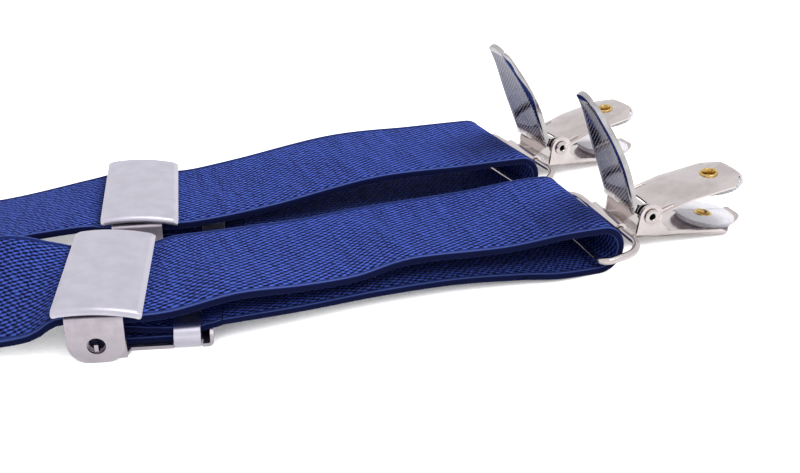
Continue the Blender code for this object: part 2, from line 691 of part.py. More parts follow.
def upper_jaw_mesh():
    """Upper jaw in its closed place: a plate bent down past its middle, a tip lip and two holed ears."""
    bend_x, bend_z = JAW_BEND_X, JAW_BEND_Z
    rear = strip([JAW_REAR, (bend_x, bend_z)], JAW_SHEET, JAW_HALF)
    front = sheet(jaw_outline(bend_x - 0.4, UPPER_REACH, UPPER_NOSE), JAW_SHEET)
    slope = -jaw_slope()
    hinge = Matrix.Translation((bend_x, 0, bend_z)) @ Matrix.Rotation(-slope, 4, "Y")
    front.transform(hinge @ Matrix.Translation((-bend_x, 0, 0)))
    lip_x, lip_z = UPPER_REACH - 0.7, bend_z + (UPPER_REACH - 0.7 - bend_x) * math.tan(slope)
    lip_line = [(lip_x - 1.2, lip_z + 0.1), (lip_x + 0.3, lip_z), (lip_x + 0.8, lip_z - 1.2)]
    lip = strip(lip_line + [(lip_x + 1.0, lip_z - JAW_LIP)], JAW_SHEET, UPPER_LIP_HALF)
    ear = arc((0.0, 0.0), JAW_EAR_RADIUS, 75, 345, 10) + JAW_EAR_FRONT
    hole = arc((0.0, 0.0), RIVET_RADIUS + PIN_CLEARANCE, 360, 0, 16)[:-1]
    ears = [sheet([ear, hole], JAW_SHEET, "XZ", side * JAW_EAR_Y) for side in (-1, 1)]
    return combine(rear, [front, lip] + ears)


def lever_line(steps=12):
    """Middle line of the lever plate in its closed place: level near the rivet, rising to the tip."""
    line = []
    for step in range(steps + 1):
        x = LEVER_ROOT + (CLIP_LEVER_LENGTH - LEVER_ROOT) * step / steps
        line.append((x, LEVER_LEAF_Z + LEAF_RISE * max(x - LEAF_RISE_FROM, 0.0) ** 2))
    return line


def lever_half_width(x):
    """Leaf outline: a little wider in the middle than at the root, narrow at the rounded tip."""
    share = (x - LEVER_ROOT) / (CLIP_LEVER_LENGTH - LEVER_ROOT)
    swell = LEAF_SWELL * math.sin(math.pi * min(share * 1.25, 1.0))
    return LEAF_ROOT_HALF + swell - LEAF_NARROWING * max(share - 0.35, 0.0) ** 1.6


def clip_lever_mesh():
    """Lever in its closed place: a curved leaf over the jaw, with two cam ears on the rivet."""
    line = lever_line()
    bm = bmesh.new()
    edge = None
    for x, z in line:
        half = lever_half_width(x)
        if edge is None:
            edge = bm.edges.new([bm.verts.new((x, side * half, z)) for side in (-1, 1)])
            continue
        grown = bmesh.ops.extrude_edge_only(bm, edges=[edge])["geom"]
        edge = next(part for part in grown if isinstance(part, bmesh.types.BMEdge))
        for vert, side in zip(edge.verts, (-1, 1)):
            vert.co = (x, side * half, z)
    mesh = bpy.data.meshes.new("leaf")
    bm.to_mesh(mesh)
    bm.free()
    leaf = temporary(mesh)
    solid = leaf.modifiers.new("thickness", "SOLIDIFY")
    solid.thickness = LEVER_LEAF_THICK
    solid.offset = 0.0
    ear = arc((0.0, 0.0), LEVER_EAR_RADIUS, 120, 360, 9)
    ear += [(3.2, 1.5), (5.6, LEVER_LEAF_Z), (2.5, LEVER_LEAF_Z)]
    hole = arc((0.0, 0.0), RIVET_RADIUS + PIN_CLEARANCE, 360, 0, 16)[:-1]
    ears = [sheet([ear, hole], JAW_SHEET, "XZ", side * LEVER_EAR_Y) for side in (-1, 1)]
    return combine(weld(evaluated_mesh(leaf)), ears)


def rivet_mesh():
    shank = rod(0.0, 0.0, RIVET_RADIUS, -RIVET_HALF, RIVET_HALF)
    heads = []
    for side in (-1, 1):
        middle = side * (RIVET_HALF - GAP + 0.1)
        low, high = middle - RIVET_HEAD_HALF, middle + RIVET_HEAD_HALF
        heads.append(rod(0.0, 0.0, RIVET_HEAD_RADIUS, low, high, 20))
    return combine(shank, heads)


def pad_mesh(height, tilt=0.0):
    """Oval pad with a hole for its eyelet, held on its plate at the given height."""
    outline = []
    for step in range(PAD_SIDES):
        angle = 2 * math.pi * step / PAD_SIDES
        outline.append((PAD_LONG * math.cos(angle) - PAD_SHIFT, PAD_ACROSS * math.sin(angle)))
    hole = arc((0.0, 0.0), EYELET_HOLE, 360, 0, 16)[:-1]
    mesh = sheet([outline, hole], PAD_THICK)
    mesh.transform(Matrix.Translation((EYELET_X, 0, height)) @ Matrix.Rotation(tilt, 4, "Y"))
    return mesh


def eyelet_mesh(low, high, tilt=0.0):
    """Hollow rivet: a flanged tube turned about Z, through the pad and the jaw plate."""
    under = high - FLANGE_THICK
    profile = [(FLANGE_RADIUS, high), (FLANGE_RADIUS, under), (BARREL_RADIUS, under)]
    profile += [(BARREL_RADIUS, low), (BARREL_BORE, low), (BARREL_BORE, high)]
    mesh = bpy.data.meshes.new("profile")
    edges = [(i, (i + 1) % len(profile)) for i in range(len(profile))]
    mesh.from_pydata([(x, 0.0, z) for x, z in profile], edges, [])
    obj = temporary(mesh)
    screw = obj.modifiers.new("turn", "SCREW")
    screw.steps = 20
    screw.render_steps = 20
    screw.use_merge_vertices = True
    screw.merge_threshold = WELD
    made = weld(evaluated_mesh(obj))
    made.transform(Matrix.Translation((EYELET_X, 0, 0)) @ Matrix.Rotation(tilt, 4, "Y"))
    return made


def ring_mesh():
    """Wire ring: one bar in the strap's loop, one in the curl, rounded corners between."""
    slope = math.hypot(RING_REACH, RING_RISE)
    corner = RING_CORNER
    half = RING_LEG
    points = arc((slope - corner, half - corner), corner, 0, 90, 4)
    points += arc((corner, half - corner), corner, 90, 180, 4)
    points += [(x, -y) for x, y in reversed(points)]
    curve = bpy.data.curves.new("wire", "CURVE")
    curve.dimensions = "3D"
    curve.bevel_depth = WIRE_RADIUS
    curve.bevel_resolution = 2
    spline = curve.splines.new("POLY")
    spline.points.add(len(points) - 1)
    for point, (x, y) in zip(spline.points, points):
        point.co = (x, y, 0.0, 1.0)
    spline.use_cyclic_u = True
    mesh = weld(evaluated_mesh(temporary(curve)))
    mesh.transform(Matrix.Rotation(-math.atan2(RING_RISE, RING_REACH), 4, "Y"))
    return mesh


def build_clips(group):
    lower_pad_z = LOWER_PLANE + JAW_SHEET + GAP + PAD_THICK / 2
    slope = -jaw_slope()
    plate_at_eyelet = JAW_BEND_Z + (EYELET_X - JAW_BEND_X) * math.tan(slope)
    upper_pad_z = plate_at_eyelet - JAW_SHEET / 2 - GAP - PAD_THICK / 2
    ring = finish_mesh(ring_mesh(), "clip_ring", "bright_nickel")
    base = finish_mesh(base_mesh(), "clip_base", "bright_nickel")
    jaw = finish_mesh(upper_jaw_mesh(), "clip_upper_jaw", "bright_nickel")
    lever = finish_mesh(clip_lever_mesh(), "clip_lever", "chrome")
    rivet = finish_mesh(rivet_mesh(), "clip_rivet", "bright_nickel")
    lower_pad = finish_mesh(pad_mesh(lower_pad_z), "clip_lower_pad", "clear_plastic")
    upper_pad = finish_mesh(pad_mesh(upper_pad_z, -slope), "clip_upper_pad", "clear_plastic")
    low_eyelet = finish_mesh(
        eyelet_mesh(LOWER_PLANE + 0.1, lower_pad_z + PAD_THICK / 2 + GAP + FLANGE_THICK),
        "clip_lower_eyelet",
        "brass",
    )
    tube_end = upper_pad_z - PAD_THICK / 2 + 0.2 - plate_at_eyelet
    top_eyelet = eyelet_mesh(tube_end, JAW_SHEET / 2 + GAP + FLANGE_THICK, -slope)
    top_eyelet.transform(Matrix.Translation((0, 0, plate_at_eyelet)))
    top_eyelet = finish_mesh(top_eyelet, "clip_upper_eyelet", "brass")
    for side, ((x, y), turn, tilt, lever_open) in CLIPS.items():
        lead = side + "_clip_"
        ring_axis = pivot(lead + "ring_axis", group, at(x, y, RING_HEIGHT, turn))
        place(lead + "ring", ring, group, Matrix.Identity(4), ring_axis)
        curl = pivot(lead + "curl_axis", group, at(RING_REACH, 0, RING_RISE, 0, tilt), ring_axis)
        centre = pivot(lead + "rivet_axis", group, at(CURL_TO_RIVET[0], 0, CURL_TO_RIVET[1]), curl)
        for name, mesh in (
            ("base", base),
            ("rivet", rivet),
            ("lower_pad", lower_pad),
            ("lower_eyelet", low_eyelet),
        ):
            place(lead + name, mesh, group, Matrix.Identity(4), centre)
        for name, mesh in (("upper_jaw", jaw), ("upper_pad", upper_pad), ("upper_eyelet", top_eyelet)):
            place(lead + name, mesh, group, at(0, 0, 0, 0, JAW_OPEN), centre)
        place(lead + "lever", lever, group, at(0, 0, 0, 0, lever_open), centre)


def main():
    clear_scene()
    group = collection("suspenders")
    build_straps(group)
    build_patch(group)
    build_adjusters(group)
    build_clips(group)


main()
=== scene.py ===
import json
import math

import bmesh
import bpy
from mathutils import Matrix, Vector, noise


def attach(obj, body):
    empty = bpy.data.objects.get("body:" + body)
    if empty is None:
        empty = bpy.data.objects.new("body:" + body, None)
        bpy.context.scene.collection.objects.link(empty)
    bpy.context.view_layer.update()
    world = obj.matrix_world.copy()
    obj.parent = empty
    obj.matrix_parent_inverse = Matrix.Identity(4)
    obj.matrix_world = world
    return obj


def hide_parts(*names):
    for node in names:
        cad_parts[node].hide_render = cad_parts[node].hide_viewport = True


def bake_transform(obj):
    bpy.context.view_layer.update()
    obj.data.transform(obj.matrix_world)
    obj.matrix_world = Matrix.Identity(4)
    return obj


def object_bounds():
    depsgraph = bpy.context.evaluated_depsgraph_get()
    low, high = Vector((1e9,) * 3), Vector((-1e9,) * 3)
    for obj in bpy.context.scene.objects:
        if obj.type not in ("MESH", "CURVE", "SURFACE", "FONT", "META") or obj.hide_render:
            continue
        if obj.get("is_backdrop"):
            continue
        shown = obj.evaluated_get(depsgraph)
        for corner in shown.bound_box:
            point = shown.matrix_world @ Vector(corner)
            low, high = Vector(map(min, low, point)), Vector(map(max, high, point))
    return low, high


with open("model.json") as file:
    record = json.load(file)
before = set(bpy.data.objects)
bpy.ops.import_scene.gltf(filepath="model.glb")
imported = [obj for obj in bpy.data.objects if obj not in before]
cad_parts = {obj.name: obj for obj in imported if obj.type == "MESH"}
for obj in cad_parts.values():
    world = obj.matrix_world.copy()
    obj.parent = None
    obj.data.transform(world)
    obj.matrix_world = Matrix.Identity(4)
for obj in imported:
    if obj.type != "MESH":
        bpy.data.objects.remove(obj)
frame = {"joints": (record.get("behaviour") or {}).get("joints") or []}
cad_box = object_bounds()

# Shapes are drawn in millimetres in a sub-assembly's own frame, and a placement turns them to metres.
MM = 0.001
WELD = 0.00001
HINGES = {joint["name"]: joint for joint in frame["joints"]}

# Webbing
WEB_WIDTH = 35.0
WEB_THICK = 1.7
END_THICK = 1.4
END_WIDTH = 29.2
END_REACH = 26.7
END_HEIGHT = 6.0
FOLD_RADIUS = 5.65
FOLD_CENTRE_Z = 6.5
STRAP_IN_ADJUSTER_Z = 9.6
RAISED_Z = 2.95
TAIL_FROM_X = 610.0

# Back patch
LEATHER = 1.8
PATCH_FRONT = 34.0
PATCH_BACK = -38.0
PATCH_FRONT_HALF = 41.0
PATCH_BACK_HALF = 22.5
PATCH_CORNER = 9.0
PATCH_WAIST = 6.0
PATCH_SINK = 1.5
SEAM_INSET = 3.2
STITCH_RADIUS = 0.36
STITCH_PITCH = 3.0
BACK_BOX_CORNERS = ((-134.5, -14.5), (-134.5, 14.5), (-147.5, 14.5), (-147.5, -14.5))
PATCH_INNER_Z = 1.0
PATCH_OUTER_Z = 5.0

# Adjuster: +X along the strap, origin on the ground under the cover's middle
COVER_HALF_LENGTH = 9.6
COVER_TOP = 14.1
COVER_TILT = 4.0
COVER_SHEET = 0.65
COVER_CORNER = 0.9
COVER_ARCH = 1.0
COVER_BEVEL = 0.55
COVER_CREASES = (-8.1, -7.95, 7.95, 8.1)
COVER_BEVEL_FROM = 7.9
COVER_ROLL_FROM = 17.65
COVER_ROLL_RADIUS = 1.25
COVER_ROLL_LENGTH = 2.1
BEND_RADIUS = 0.9
EAR_CORNER = 4.6
EAR_HALF = 6.1
EAR_SHEET = 0.7
EAR_OUTER = 18.7
EAR_HOLE = 2.0
LEVER_AXIS_Z = 4.25
LEVER_SHEET = 0.8
LEVER_END = 24.5
LEVER_LIP = 3.0
LEVER_LIP_CORNER = 1.2
PLATE_SHOULDER = [(2.2, 17.1), (5.8, 17.1)]
CHEEK_Y = 16.8
CHEEK_HOLE = 1.75
SHADE_DISC_RADIUS = 1.9
SHADE_DISC_SHEET = 0.3
SHADE_DISC_Y = 16.5
TONGUE = [(-1.9, 17.1), (-1.85, 17.7), (-1.5, 18.3), (-0.9, 18.7), (-0.2, 18.85), (0.5, 18.8)]
TONGUE_SHEET = 0.5
TONGUE_HALF = 0.42
CAM_TOP = 8.4
CAM_ROOT = 1.5
CAM_HALF = 17.0
CAM_THICK = 1.0
TEETH_PER_SIDE = 12
TOOTH_PITCH = 1.35
TOOTH_DEPTH = 0.7
FLOOR = 0.1
CRIMP_FROM = 15.9
CRIMP_TO = 21.8
CRIMP_NOTCH = 12.6
CRIMP_WALL = 0.55
CRIMP_HALF = 15.8
CRIMP_TOP = 5.75
CRIMP_CORNER = 2.3
CRIMP_CURL_Y = 12.9
WEB_BAR = (4.5, 3.6)
WEB_BAR_RADIUS = 0.6
WEB_BAR_HALF = 16.9
WEB_ROUND_BAR = 0.85
UPPER_PLY_Z = 4.3
LOWER_PLY_Z = 2.2

# Clip: +X towards the tip when closed, origin on the rivet's axis
JAW_HALF = 8.5
JAW_SHEET = 0.7
JAW_STRAIGHT = 26.0
LOWER_REACH = 33.2
UPPER_REACH = 31.2
LOWER_PLANE = -6.2
LOWER_NOSE = 3.6
UPPER_NOSE = 4.2
BASE_REAR = -3.3
JAW_REAR = 2.2
TIP_FROM = 29.8
TIP_RISE = 0.105
TIP_SHORTENING = 0.78
BASE_EAR_RADIUS = 3.4
FLANGE_TOP = -4.7
CURL_HALF = 7.2
LIP_RADIUS = 1.1
LIP_TURN = math.radians(82)
JAW_EAR = (7.1, 2.7)
LEVER_EAR = (5.9, 2.6)
RIVET_RADIUS = 1.5
RIVET_BORE = 0.9
PIN_CLEARANCE = 0.15
EYELET_X = 23.4
EYELET_HOLE = 2.0
PAD_THICK = 1.65
PAD_LONG = 8.3
PAD_ACROSS = 8.1
PAD_SHIFT = 0.2
PAD_LOBES = 36
PAD_LOBE_DEPTH = 0.012
GAP = 0.3
JAW_BEND = (12.8, 0.85)
JAW_FALL = 1.3
JAW_CROWN = 1.15
LEVER_LEAF_Z = 4.35
CLIP_LEVER_LENGTH = 37.4
LEAF_ROOT = 2.4
LEAF_RIM = 0.9
LEAF_ROLL = 1.3
LEAF_THICK = 0.6
LEAF_CORNER = 1.2
LEAF_RISE = 0.005
LEAF_RISE_FROM = 9.0
LEAF_HOLLOW = 0.004
KNURL_PITCH = 1.22
KNURL_SIZE = (0.16, 0.16, 0.09, 1.0)
WIRE_RADIUS = 1.0
RING_HALF = 19.2
RING_CORNER = 3.2
RING_WIDE_CORNER = 5.6
CURL_TO_RIVET = (7.9, 4.3)

def full_rows(*rows):
    """Route rows with the usual width and roll added where a row leaves them out."""
    return [row + (WEB_WIDTH, 0.0)[len(row) - 4 :] for row in rows]


# Strap routes: x, y and z of the middle line, heading in the plan, width, and sideways roll. Width and roll
# are left out where they are the usual ones
RIGHT_ROUTE = full_rows(
    (2.0, -18.4, RAISED_Z, -3.0),
    (45.0, -19.8, RAISED_Z, -3.0),
    (100.0, -21.5, 1.1, 0.0),
    (200.0, -19.0, 1.0, 4.0),
    (300.0, -11.0, 1.0, 5.0),
    (380.0, -6.0, 1.0, 0.0),
    (430.0, -8.0, 1.8, -6.0, WEB_WIDTH, 2.0),
    (464.0, -12.0, 5.0, -10.0, WEB_WIDTH, 13.0),
    (486.5, -16.5, 8.3, -13.0, WEB_WIDTH, 17.0),
    (498.3, -20.4, 8.8, -12.9, WEB_WIDTH, 9.0),
    (504.2, -21.4, STRAP_IN_ADJUSTER_Z, -12.9),
    (512.0, -23.2, STRAP_IN_ADJUSTER_Z, -12.9),
    (519.8, -25.0, STRAP_IN_ADJUSTER_Z, -12.9),
    (527.0, -26.0, 10.5, -10.0, WEB_WIDTH, 2.0),
    (538.0, -25.3, 11.0, 1.0, WEB_WIDTH, -1.5),
    (552.0, -23.0, 9.4, 6.0),
    (566.0, -21.4, 8.6, 5.0, WEB_WIDTH, -0.2),
    (582.0, -19.5, 9.2, 1.0, WEB_WIDTH, -2.4),
    (607.0, -21.5, 10.0, -5.0),
    (622.0, -23.0, 11.8, -3.0),
)
RIGHT_FOLD = ((632.0, -23.5), 0.0)
RIGHT_RETURN = full_rows(
    (619.0, -24.6, 1.9, 3.0),
    (608.0, -23.4, 2.8, 4.0),
    (592.0, -21.8, 3.6, 1.0),
    (574.0, -22.0, 3.9, -4.0, 34.5),
    (556.0, -25.0, 4.5, -9.0, 32.5),
)
LEFT_ROUTE = full_rows(
    (2.0, 18.4, RAISED_Z, 3.0),
    (45.0, 20.6, RAISED_Z, 4.0),
    (100.0, 25.0, 1.1, 5.0),
    (200.0, 31.0, 1.0, 4.0),
    (300.0, 36.0, 1.0, 1.0),
    (380.0, 36.2, 1.0, -2.0),
    (430.0, 33.5, 1.5, -5.0, WEB_WIDTH, -2.0),
    (465.0, 29.2, 3.4, -8.0, WEB_WIDTH, -2.0),
    (488.0, 25.6, 5.6, -9.5, WEB_WIDTH, -6.0),
    (511.7, 21.5, 9.3, -9.5, WEB_WIDTH, -3.0),
    (517.7, 20.5, STRAP_IN_ADJUSTER_Z, -9.5),
    (525.6, 19.2, STRAP_IN_ADJUSTER_Z, -9.5),
    (533.5, 17.9, STRAP_IN_ADJUSTER_Z, -9.5),
    (541.0, 16.9, 9.9, -6.0),
    (557.0, 18.0, 11.0, 3.0),
    (585.7, 21.2, 13.6, 4.0),
    (610.8, 22.4, 13.0, 3.0),
    (622.0, 23.3, 12.6, 5.0),
)
LEFT_FOLD = ((631.3, 24.2), 5.0)
LEFT_RETURN = full_rows(
    (618.0, 23.0, 0.95, 5.0),
    (604.0, 21.8, 1.4, 4.0),
    (588.0, 20.0, 2.8, 2.0, 34.0),
    (570.0, 17.4, 4.4, -5.0, 32.0),
)
BACK_ROUTE = full_rows(
    (-2.0, 0.0, RAISED_Z, 180.0),
    (-45.0, 0.0, RAISED_Z, 180.0),
    (-90.0, 0.0, 1.1, 180.0),
    (-140.0, 0.0, 0.95, 180.0),
    (-183.0, 0.0, 0.95, 180.0),
)
BACK_FOLD = ((-196.0, 0.0), 180.0)
BACK_RETURN = full_rows(
    (-184.0, 0.0, 10.4, 180.0),
    (-166.0, 0.0, 4.2, 180.0),
    (-150.0, 0.0, RAISED_Z, 180.0),
    (-132.0, 0.0, RAISED_Z, 180.0),
)

# Camera: a close view down over the adjusters towards the two front clips
CAMERA_AT = (0.5019, -0.2349, 0.1239)
CAMERA_FORWARD = (0.3229, 0.8333, -0.4488)
CAMERA_UP = (0.1409, 0.4266, 0.8934)
CAMERA_LENS = 45.62


# Camera, floor and light


def linked(name, data):
    """A new object in the scene, holding the data."""
    obj = bpy.data.objects.new(name, data)
    bpy.context.scene.collection.objects.link(obj)
    return obj


def mesh_of(bm, name):
    """A mesh of the bmesh, which is freed."""
    mesh = bpy.data.meshes.new(name)
    bm.to_mesh(mesh)
    bm.free()
    return mesh


def add_camera():
    data = bpy.data.cameras.new("camera")
    data.lens = CAMERA_LENS
    data.sensor_width = 36.0
    data.clip_start = 0.01
    forward, up = Vector(CAMERA_FORWARD), Vector(CAMERA_UP)
    right = forward.cross(up).normalized()
    turn = Matrix((right, right.cross(forward), -forward)).transposed().to_4x4()
    camera = linked("camera", data)
    camera.matrix_world = Matrix.Translation(CAMERA_AT) @ turn
    bpy.context.scene.camera = camera


def add_lamp(name, place, target, width, height, power, in_gloss=False):
    data = bpy.data.lights.new(name, "AREA")
    data.shape = "RECTANGLE"
    data.size = width
    data.size_y = height
    data.energy = power
    lamp = linked(name, data)
    lamp.visible_glossy = in_gloss
    aim = (Vector(target) - Vector(place)).to_track_quat("-Z", "Y")
    lamp.matrix_world = Matrix.Translation(place) @ aim.to_matrix().to_4x4()


def add_studio():
    """White floor glowing evenly to the camera, with painted shade in the narrow gaps between parts, even
    white surroundings and two soft boxes.
    """
    world = bpy.data.worlds.new("studio")
    bpy.context.scene.world = world
    world.use_nodes = True
    background = world.node_tree.nodes["Background"]
    background.inputs["Color"].default_value = (0.98, 0.98, 1.0, 1.0)
    tree = world.node_tree
    rays = tree.nodes.new("ShaderNodeLightPath").outputs
    strength = scaled(tree, rays["Is Glossy Ray"], 0.56, 0.42)
    strength = scaled(tree, rays["Is Camera Ray"], 0.6, strength)
    tree.links.new(strength, background.inputs["Strength"])
    bm = bmesh.new()
    bmesh.ops.create_grid(bm, x_segments=8, y_segments=8, size=14.0)
    floor = linked("floor", mesh_of(bm, "floor"))
    paint, tree, shader = new_finish("floor_paint", Roughness=0.9, Specular_IOR_Level=0.1)
    feed_all(tree, shader, Base_Color=(0.62, 0.62, 0.625, 1.0), Emission_Color=(1.0, 1.0, 1.0, 1.0))
    rays = tree.nodes.new("ShaderNodeLightPath").outputs
    # Painted shade: the floor's glow to the camera is dimmed where ambient occlusion finds it closed in, so
    # narrow gaps between parts read dark.
    gap_occlusion = tree.nodes.new("ShaderNodeAmbientOcclusion")
    gap_occlusion.inputs["Distance"].default_value = 0.02
    gap_occlusion.samples = 8
    painted_gap_shade_fade = ramp(tree, gap_occlusion.outputs["AO"], 0.06, 0.24)
    glow = maths(tree, "MULTIPLY", rays["Is Camera Ray"], painted_gap_shade_fade)
    glow = scaled(tree, rays["Is Glossy Ray"], 0.5, maths(tree, "ADD", glow, 0.02))
    tree.links.new(glow, shader.inputs["Emission Strength"])
    floor.data.materials.append(paint)
    floor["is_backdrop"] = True
    middle = (0.55, 0.0, 0.0)
    add_lamp("overhead_box", (1.20, 0.35, 0.75), middle, 0.6, 0.5, 9.5)
    add_lamp("front_box", (0.62, -0.45, 0.62), middle, 0.3, 0.22, 0.9, in_gloss=True)


# Node helpers


def new_group(name, inputs, outputs):
    """A shader node group; inputs are (name, default), and a 3-tuple default makes a vector."""
    tree = bpy.data.node_groups.new(name, "ShaderNodeTree")
    for label, default in inputs:
        kind = "NodeSocketVector" if isinstance(default, tuple) else "NodeSocketFloat"
        socket = tree.interface.new_socket(label, in_out="INPUT", socket_type=kind)
        if kind == "NodeSocketFloat":
            socket.default_value = default
    for label in outputs:
        tree.interface.new_socket(label, in_out="OUTPUT", socket_type="NodeSocketFloat")
    return tree, tree.nodes.new("NodeGroupInput"), tree.nodes.new("NodeGroupOutput")


def feed(tree, socket, value):
    if isinstance(value, bpy.types.NodeSocket):
        tree.links.new(value, socket)
    else:
        socket.default_value = value


def feed_all(tree, shader, **values):
    """Sets or links sockets by name, with _ for a space."""
    for label, value in values.items():
        feed(tree, shader.inputs[label.replace("_", " ")], value)


def maths(tree, operation, *values, clamp=False):
    made = tree.nodes.new("ShaderNodeMath")
    made.operation = operation
    made.use_clamp = clamp
    for socket, value in zip(made.inputs, values):
        feed(tree, socket, value)
    return made.outputs[0]


def scaled(tree, value, factor, offset):
    return maths(tree, "MULTIPLY_ADD", value, factor, offset)


def ramp(tree, value, low, high):
    """0 below low, 1 above high, smooth between; low may be above high."""
    made = tree.nodes.new("ShaderNodeMapRange")
    made.interpolation_type = "SMOOTHSTEP"
    feed(tree, made.inputs["Value"], value)
    made.inputs["From Min"].default_value = low
    made.inputs["From Max"].default_value = high
    return made.outputs["Result"]


def speckle(tree, vector, scale, detail=2.0, roughness=0.5):
    made = tree.nodes.new("ShaderNodeTexNoise")
    feed(tree, made.inputs["Vector"], vector)
    feed(tree, made.inputs["Scale"], scale)
    made.inputs["Detail"].default_value = detail
    made.inputs["Roughness"].default_value = roughness
    return made.outputs["Fac"]


def wave(tree, across, along, a, b):
    """Cosine ridges with a cycles a millimetre across and b along."""
    phase = scaled(tree, across, a, maths(tree, "MULTIPLY", along, b))
    return maths(tree, "COSINE", maths(tree, "MULTIPLY", phase, 2 * math.pi))


def blend_colours(tree, share, first, second):
    made = tree.nodes.new("ShaderNodeMix")
    made.data_type = "RGBA"
    feed(tree, made.inputs["Factor"], share)
    for socket, value in ((made.inputs[6], first), (made.inputs[7], second)):
        feed(tree, socket, value if isinstance(value, bpy.types.NodeSocket) else (*value, 1.0))
    return made.outputs[2]


def use_group(tree, group, **values):
    made = tree.nodes.new("ShaderNodeGroup")
    made.node_tree = group
    feed_all(tree, made, **values)
    return made.outputs


def bump(tree, height, distance, strength=1.0):
    made = tree.nodes.new("ShaderNodeBump")
    made.inputs["Strength"].default_value = strength
    made.inputs["Distance"].default_value = distance
    feed(tree, made.inputs["Height"], height)
    return made.outputs["Normal"]


def new_finish(name, metallic=0.0, **values):
    """A material with its Principled BSDF, and constants set on the shader's own sockets."""
    made = bpy.data.materials.new(name)
    made.use_nodes = True
    tree = made.node_tree
    shader = tree.nodes["Principled BSDF"]
    feed_all(tree, shader, Metallic=metallic, **values)
    return made, tree, shader


def object_coordinates(tree):
    return tree.nodes.new("ShaderNodeTexCoord").outputs["Object"]


def stretched(tree, vector, scale):
    made = tree.nodes.new("ShaderNodeMapping")
    feed(tree, made.inputs["Vector"], vector)
    made.inputs["Scale"].default_value = scale
    return made.outputs["Vector"]


# Effects shared by the finishes


def weave_group():
    """Elastic webbing on a map in millimetres, X across and Y along: threads and beaded selvedges, with a
    mask for a painted highlight along each bead's top and one for painted shade on the strap's side faces.
    """
    inputs = [("Vector", (0.0, 0.0, 0.0)), ("Width", WEB_WIDTH)]
    tree, source, result = new_group("weave", inputs, ["Thread", "Height", "Bead", "Side"])
    cloth = source.outputs["Vector"]
    split = tree.nodes.new("ShaderNodeSeparateXYZ")
    tree.links.new(cloth, split.inputs[0])
    from_edge, down = split.outputs["X"], split.outputs["Y"]
    wander = speckle(tree, cloth, 0.55, 1.0)
    across = scaled(tree, wander, 0.7, from_edge)
    along = scaled(tree, wander, 1.6, down)
    steep = wave(tree, across, along, -0.74, 0.33)
    shallow = wave(tree, across, along, 0.57, 0.56)
    fibre = speckle(tree, stretched(tree, cloth, (5.0, 1.6, 1.0)), 1.6, 3.0, 0.6)
    body = scaled(tree, shallow, 0.21, scaled(tree, steep, 0.27, 0.5))
    body = scaled(tree, maths(tree, "SUBTRACT", fibre, 0.5), 0.34, body)
    bars = speckle(tree, stretched(tree, cloth, (0.05, 0.55, 1.0)), 1.0, 2.0)
    body = scaled(tree, maths(tree, "SUBTRACT", bars, 0.5), 0.3, body)
    to_edge = maths(tree, "SUBTRACT", source.outputs["Width"], from_edge)
    to_edge = maths(tree, "MINIMUM", from_edge, to_edge)
    # Ridge along each selvedge bead: it raises the bump, and in colour it is a painted highlight along the
    # bead's top.
    bead_ridge_and_highlight = maths(tree, "MULTIPLY", ramp(tree, to_edge, 0.2, 0.42), ramp(tree, to_edge, 0.85, 0.6))
    inner = ramp(tree, to_edge, 1.3, 1.9)
    beads = scaled(tree, wave(tree, from_edge, down, 0.0, 0.9), 0.12, 0.72)
    thread = maths(tree, "MULTIPLY", ramp(tree, body, 0.27, 0.84), inner)
    side_fuzz = maths(tree, "MULTIPLY", fibre, 0.4)
    outer = maths(tree, "SUBTRACT", 1.0, inner)
    thread = scaled(tree, outer, side_fuzz, thread)
    height = maths(tree, "MULTIPLY", ramp(tree, body, 0.1, 0.95), inner)
    height = scaled(tree, bead_ridge_and_highlight, beads, height)
    # The side output is painted shade: it marks the strap's side faces.
    feed_all(tree, result, Thread=thread, Height=height, Bead=bead_ridge_and_highlight, Side=ramp(tree, to_edge, 0.35, 0.15))
    return tree


def mottle_group():
    """Faint clouding and fine grain of plated sheet, on coordinates in metres."""
    inputs = [("Vector", (0.0, 0.0, 0.0)), ("Cloud size", 260.0), ("Grain size", 2600.0)]
    tree, source, result = new_group("plate_mottle", inputs, ["Cloud", "Grain"])
    cloud = speckle(tree, source.outputs["Vector"], source.outputs["Cloud size"], 3.0, 0.6)
    grain = speckle(tree, source.outputs["Vector"], source.outputs["Grain size"], 2.0, 0.7)
    feed_all(tree, result, Cloud=ramp(tree, cloud, 0.3, 0.7), Grain=grain)
    return tree


def edge_wear_and_highlight_group():
    """Mask of rubbed edges, which also paints edge highlights: 1 on sharp outer edges, broken up by noise.
    """
    inputs = [("Vector", (0.0, 0.0, 0.0)), ("Start", 0.52), ("Spread", 0.06)]
    tree, source, result = new_group("edge_wear_and_highlight", inputs, ["Wear"])
    shape = tree.nodes.new("ShaderNodeNewGeometry").outputs["Pointiness"]
    raised = maths(tree, "SUBTRACT", shape, source.outputs["Start"])
    raised = maths(tree, "DIVIDE", raised, source.outputs["Spread"])
    breaks = speckle(tree, source.outputs["Vector"], 900.0, 2.0)
    wear_and_highlight = maths(tree, "MULTIPLY", raised, maths(tree, "ADD", breaks, 0.3), clamp=True)
    tree.links.new(wear_and_highlight, result.inputs["Wear"])
    return tree


WEAVE = weave_group()
MOTTLE = mottle_group()
EDGE_WEAR_AND_HIGHLIGHT = edge_wear_and_highlight_group()


# Finishes


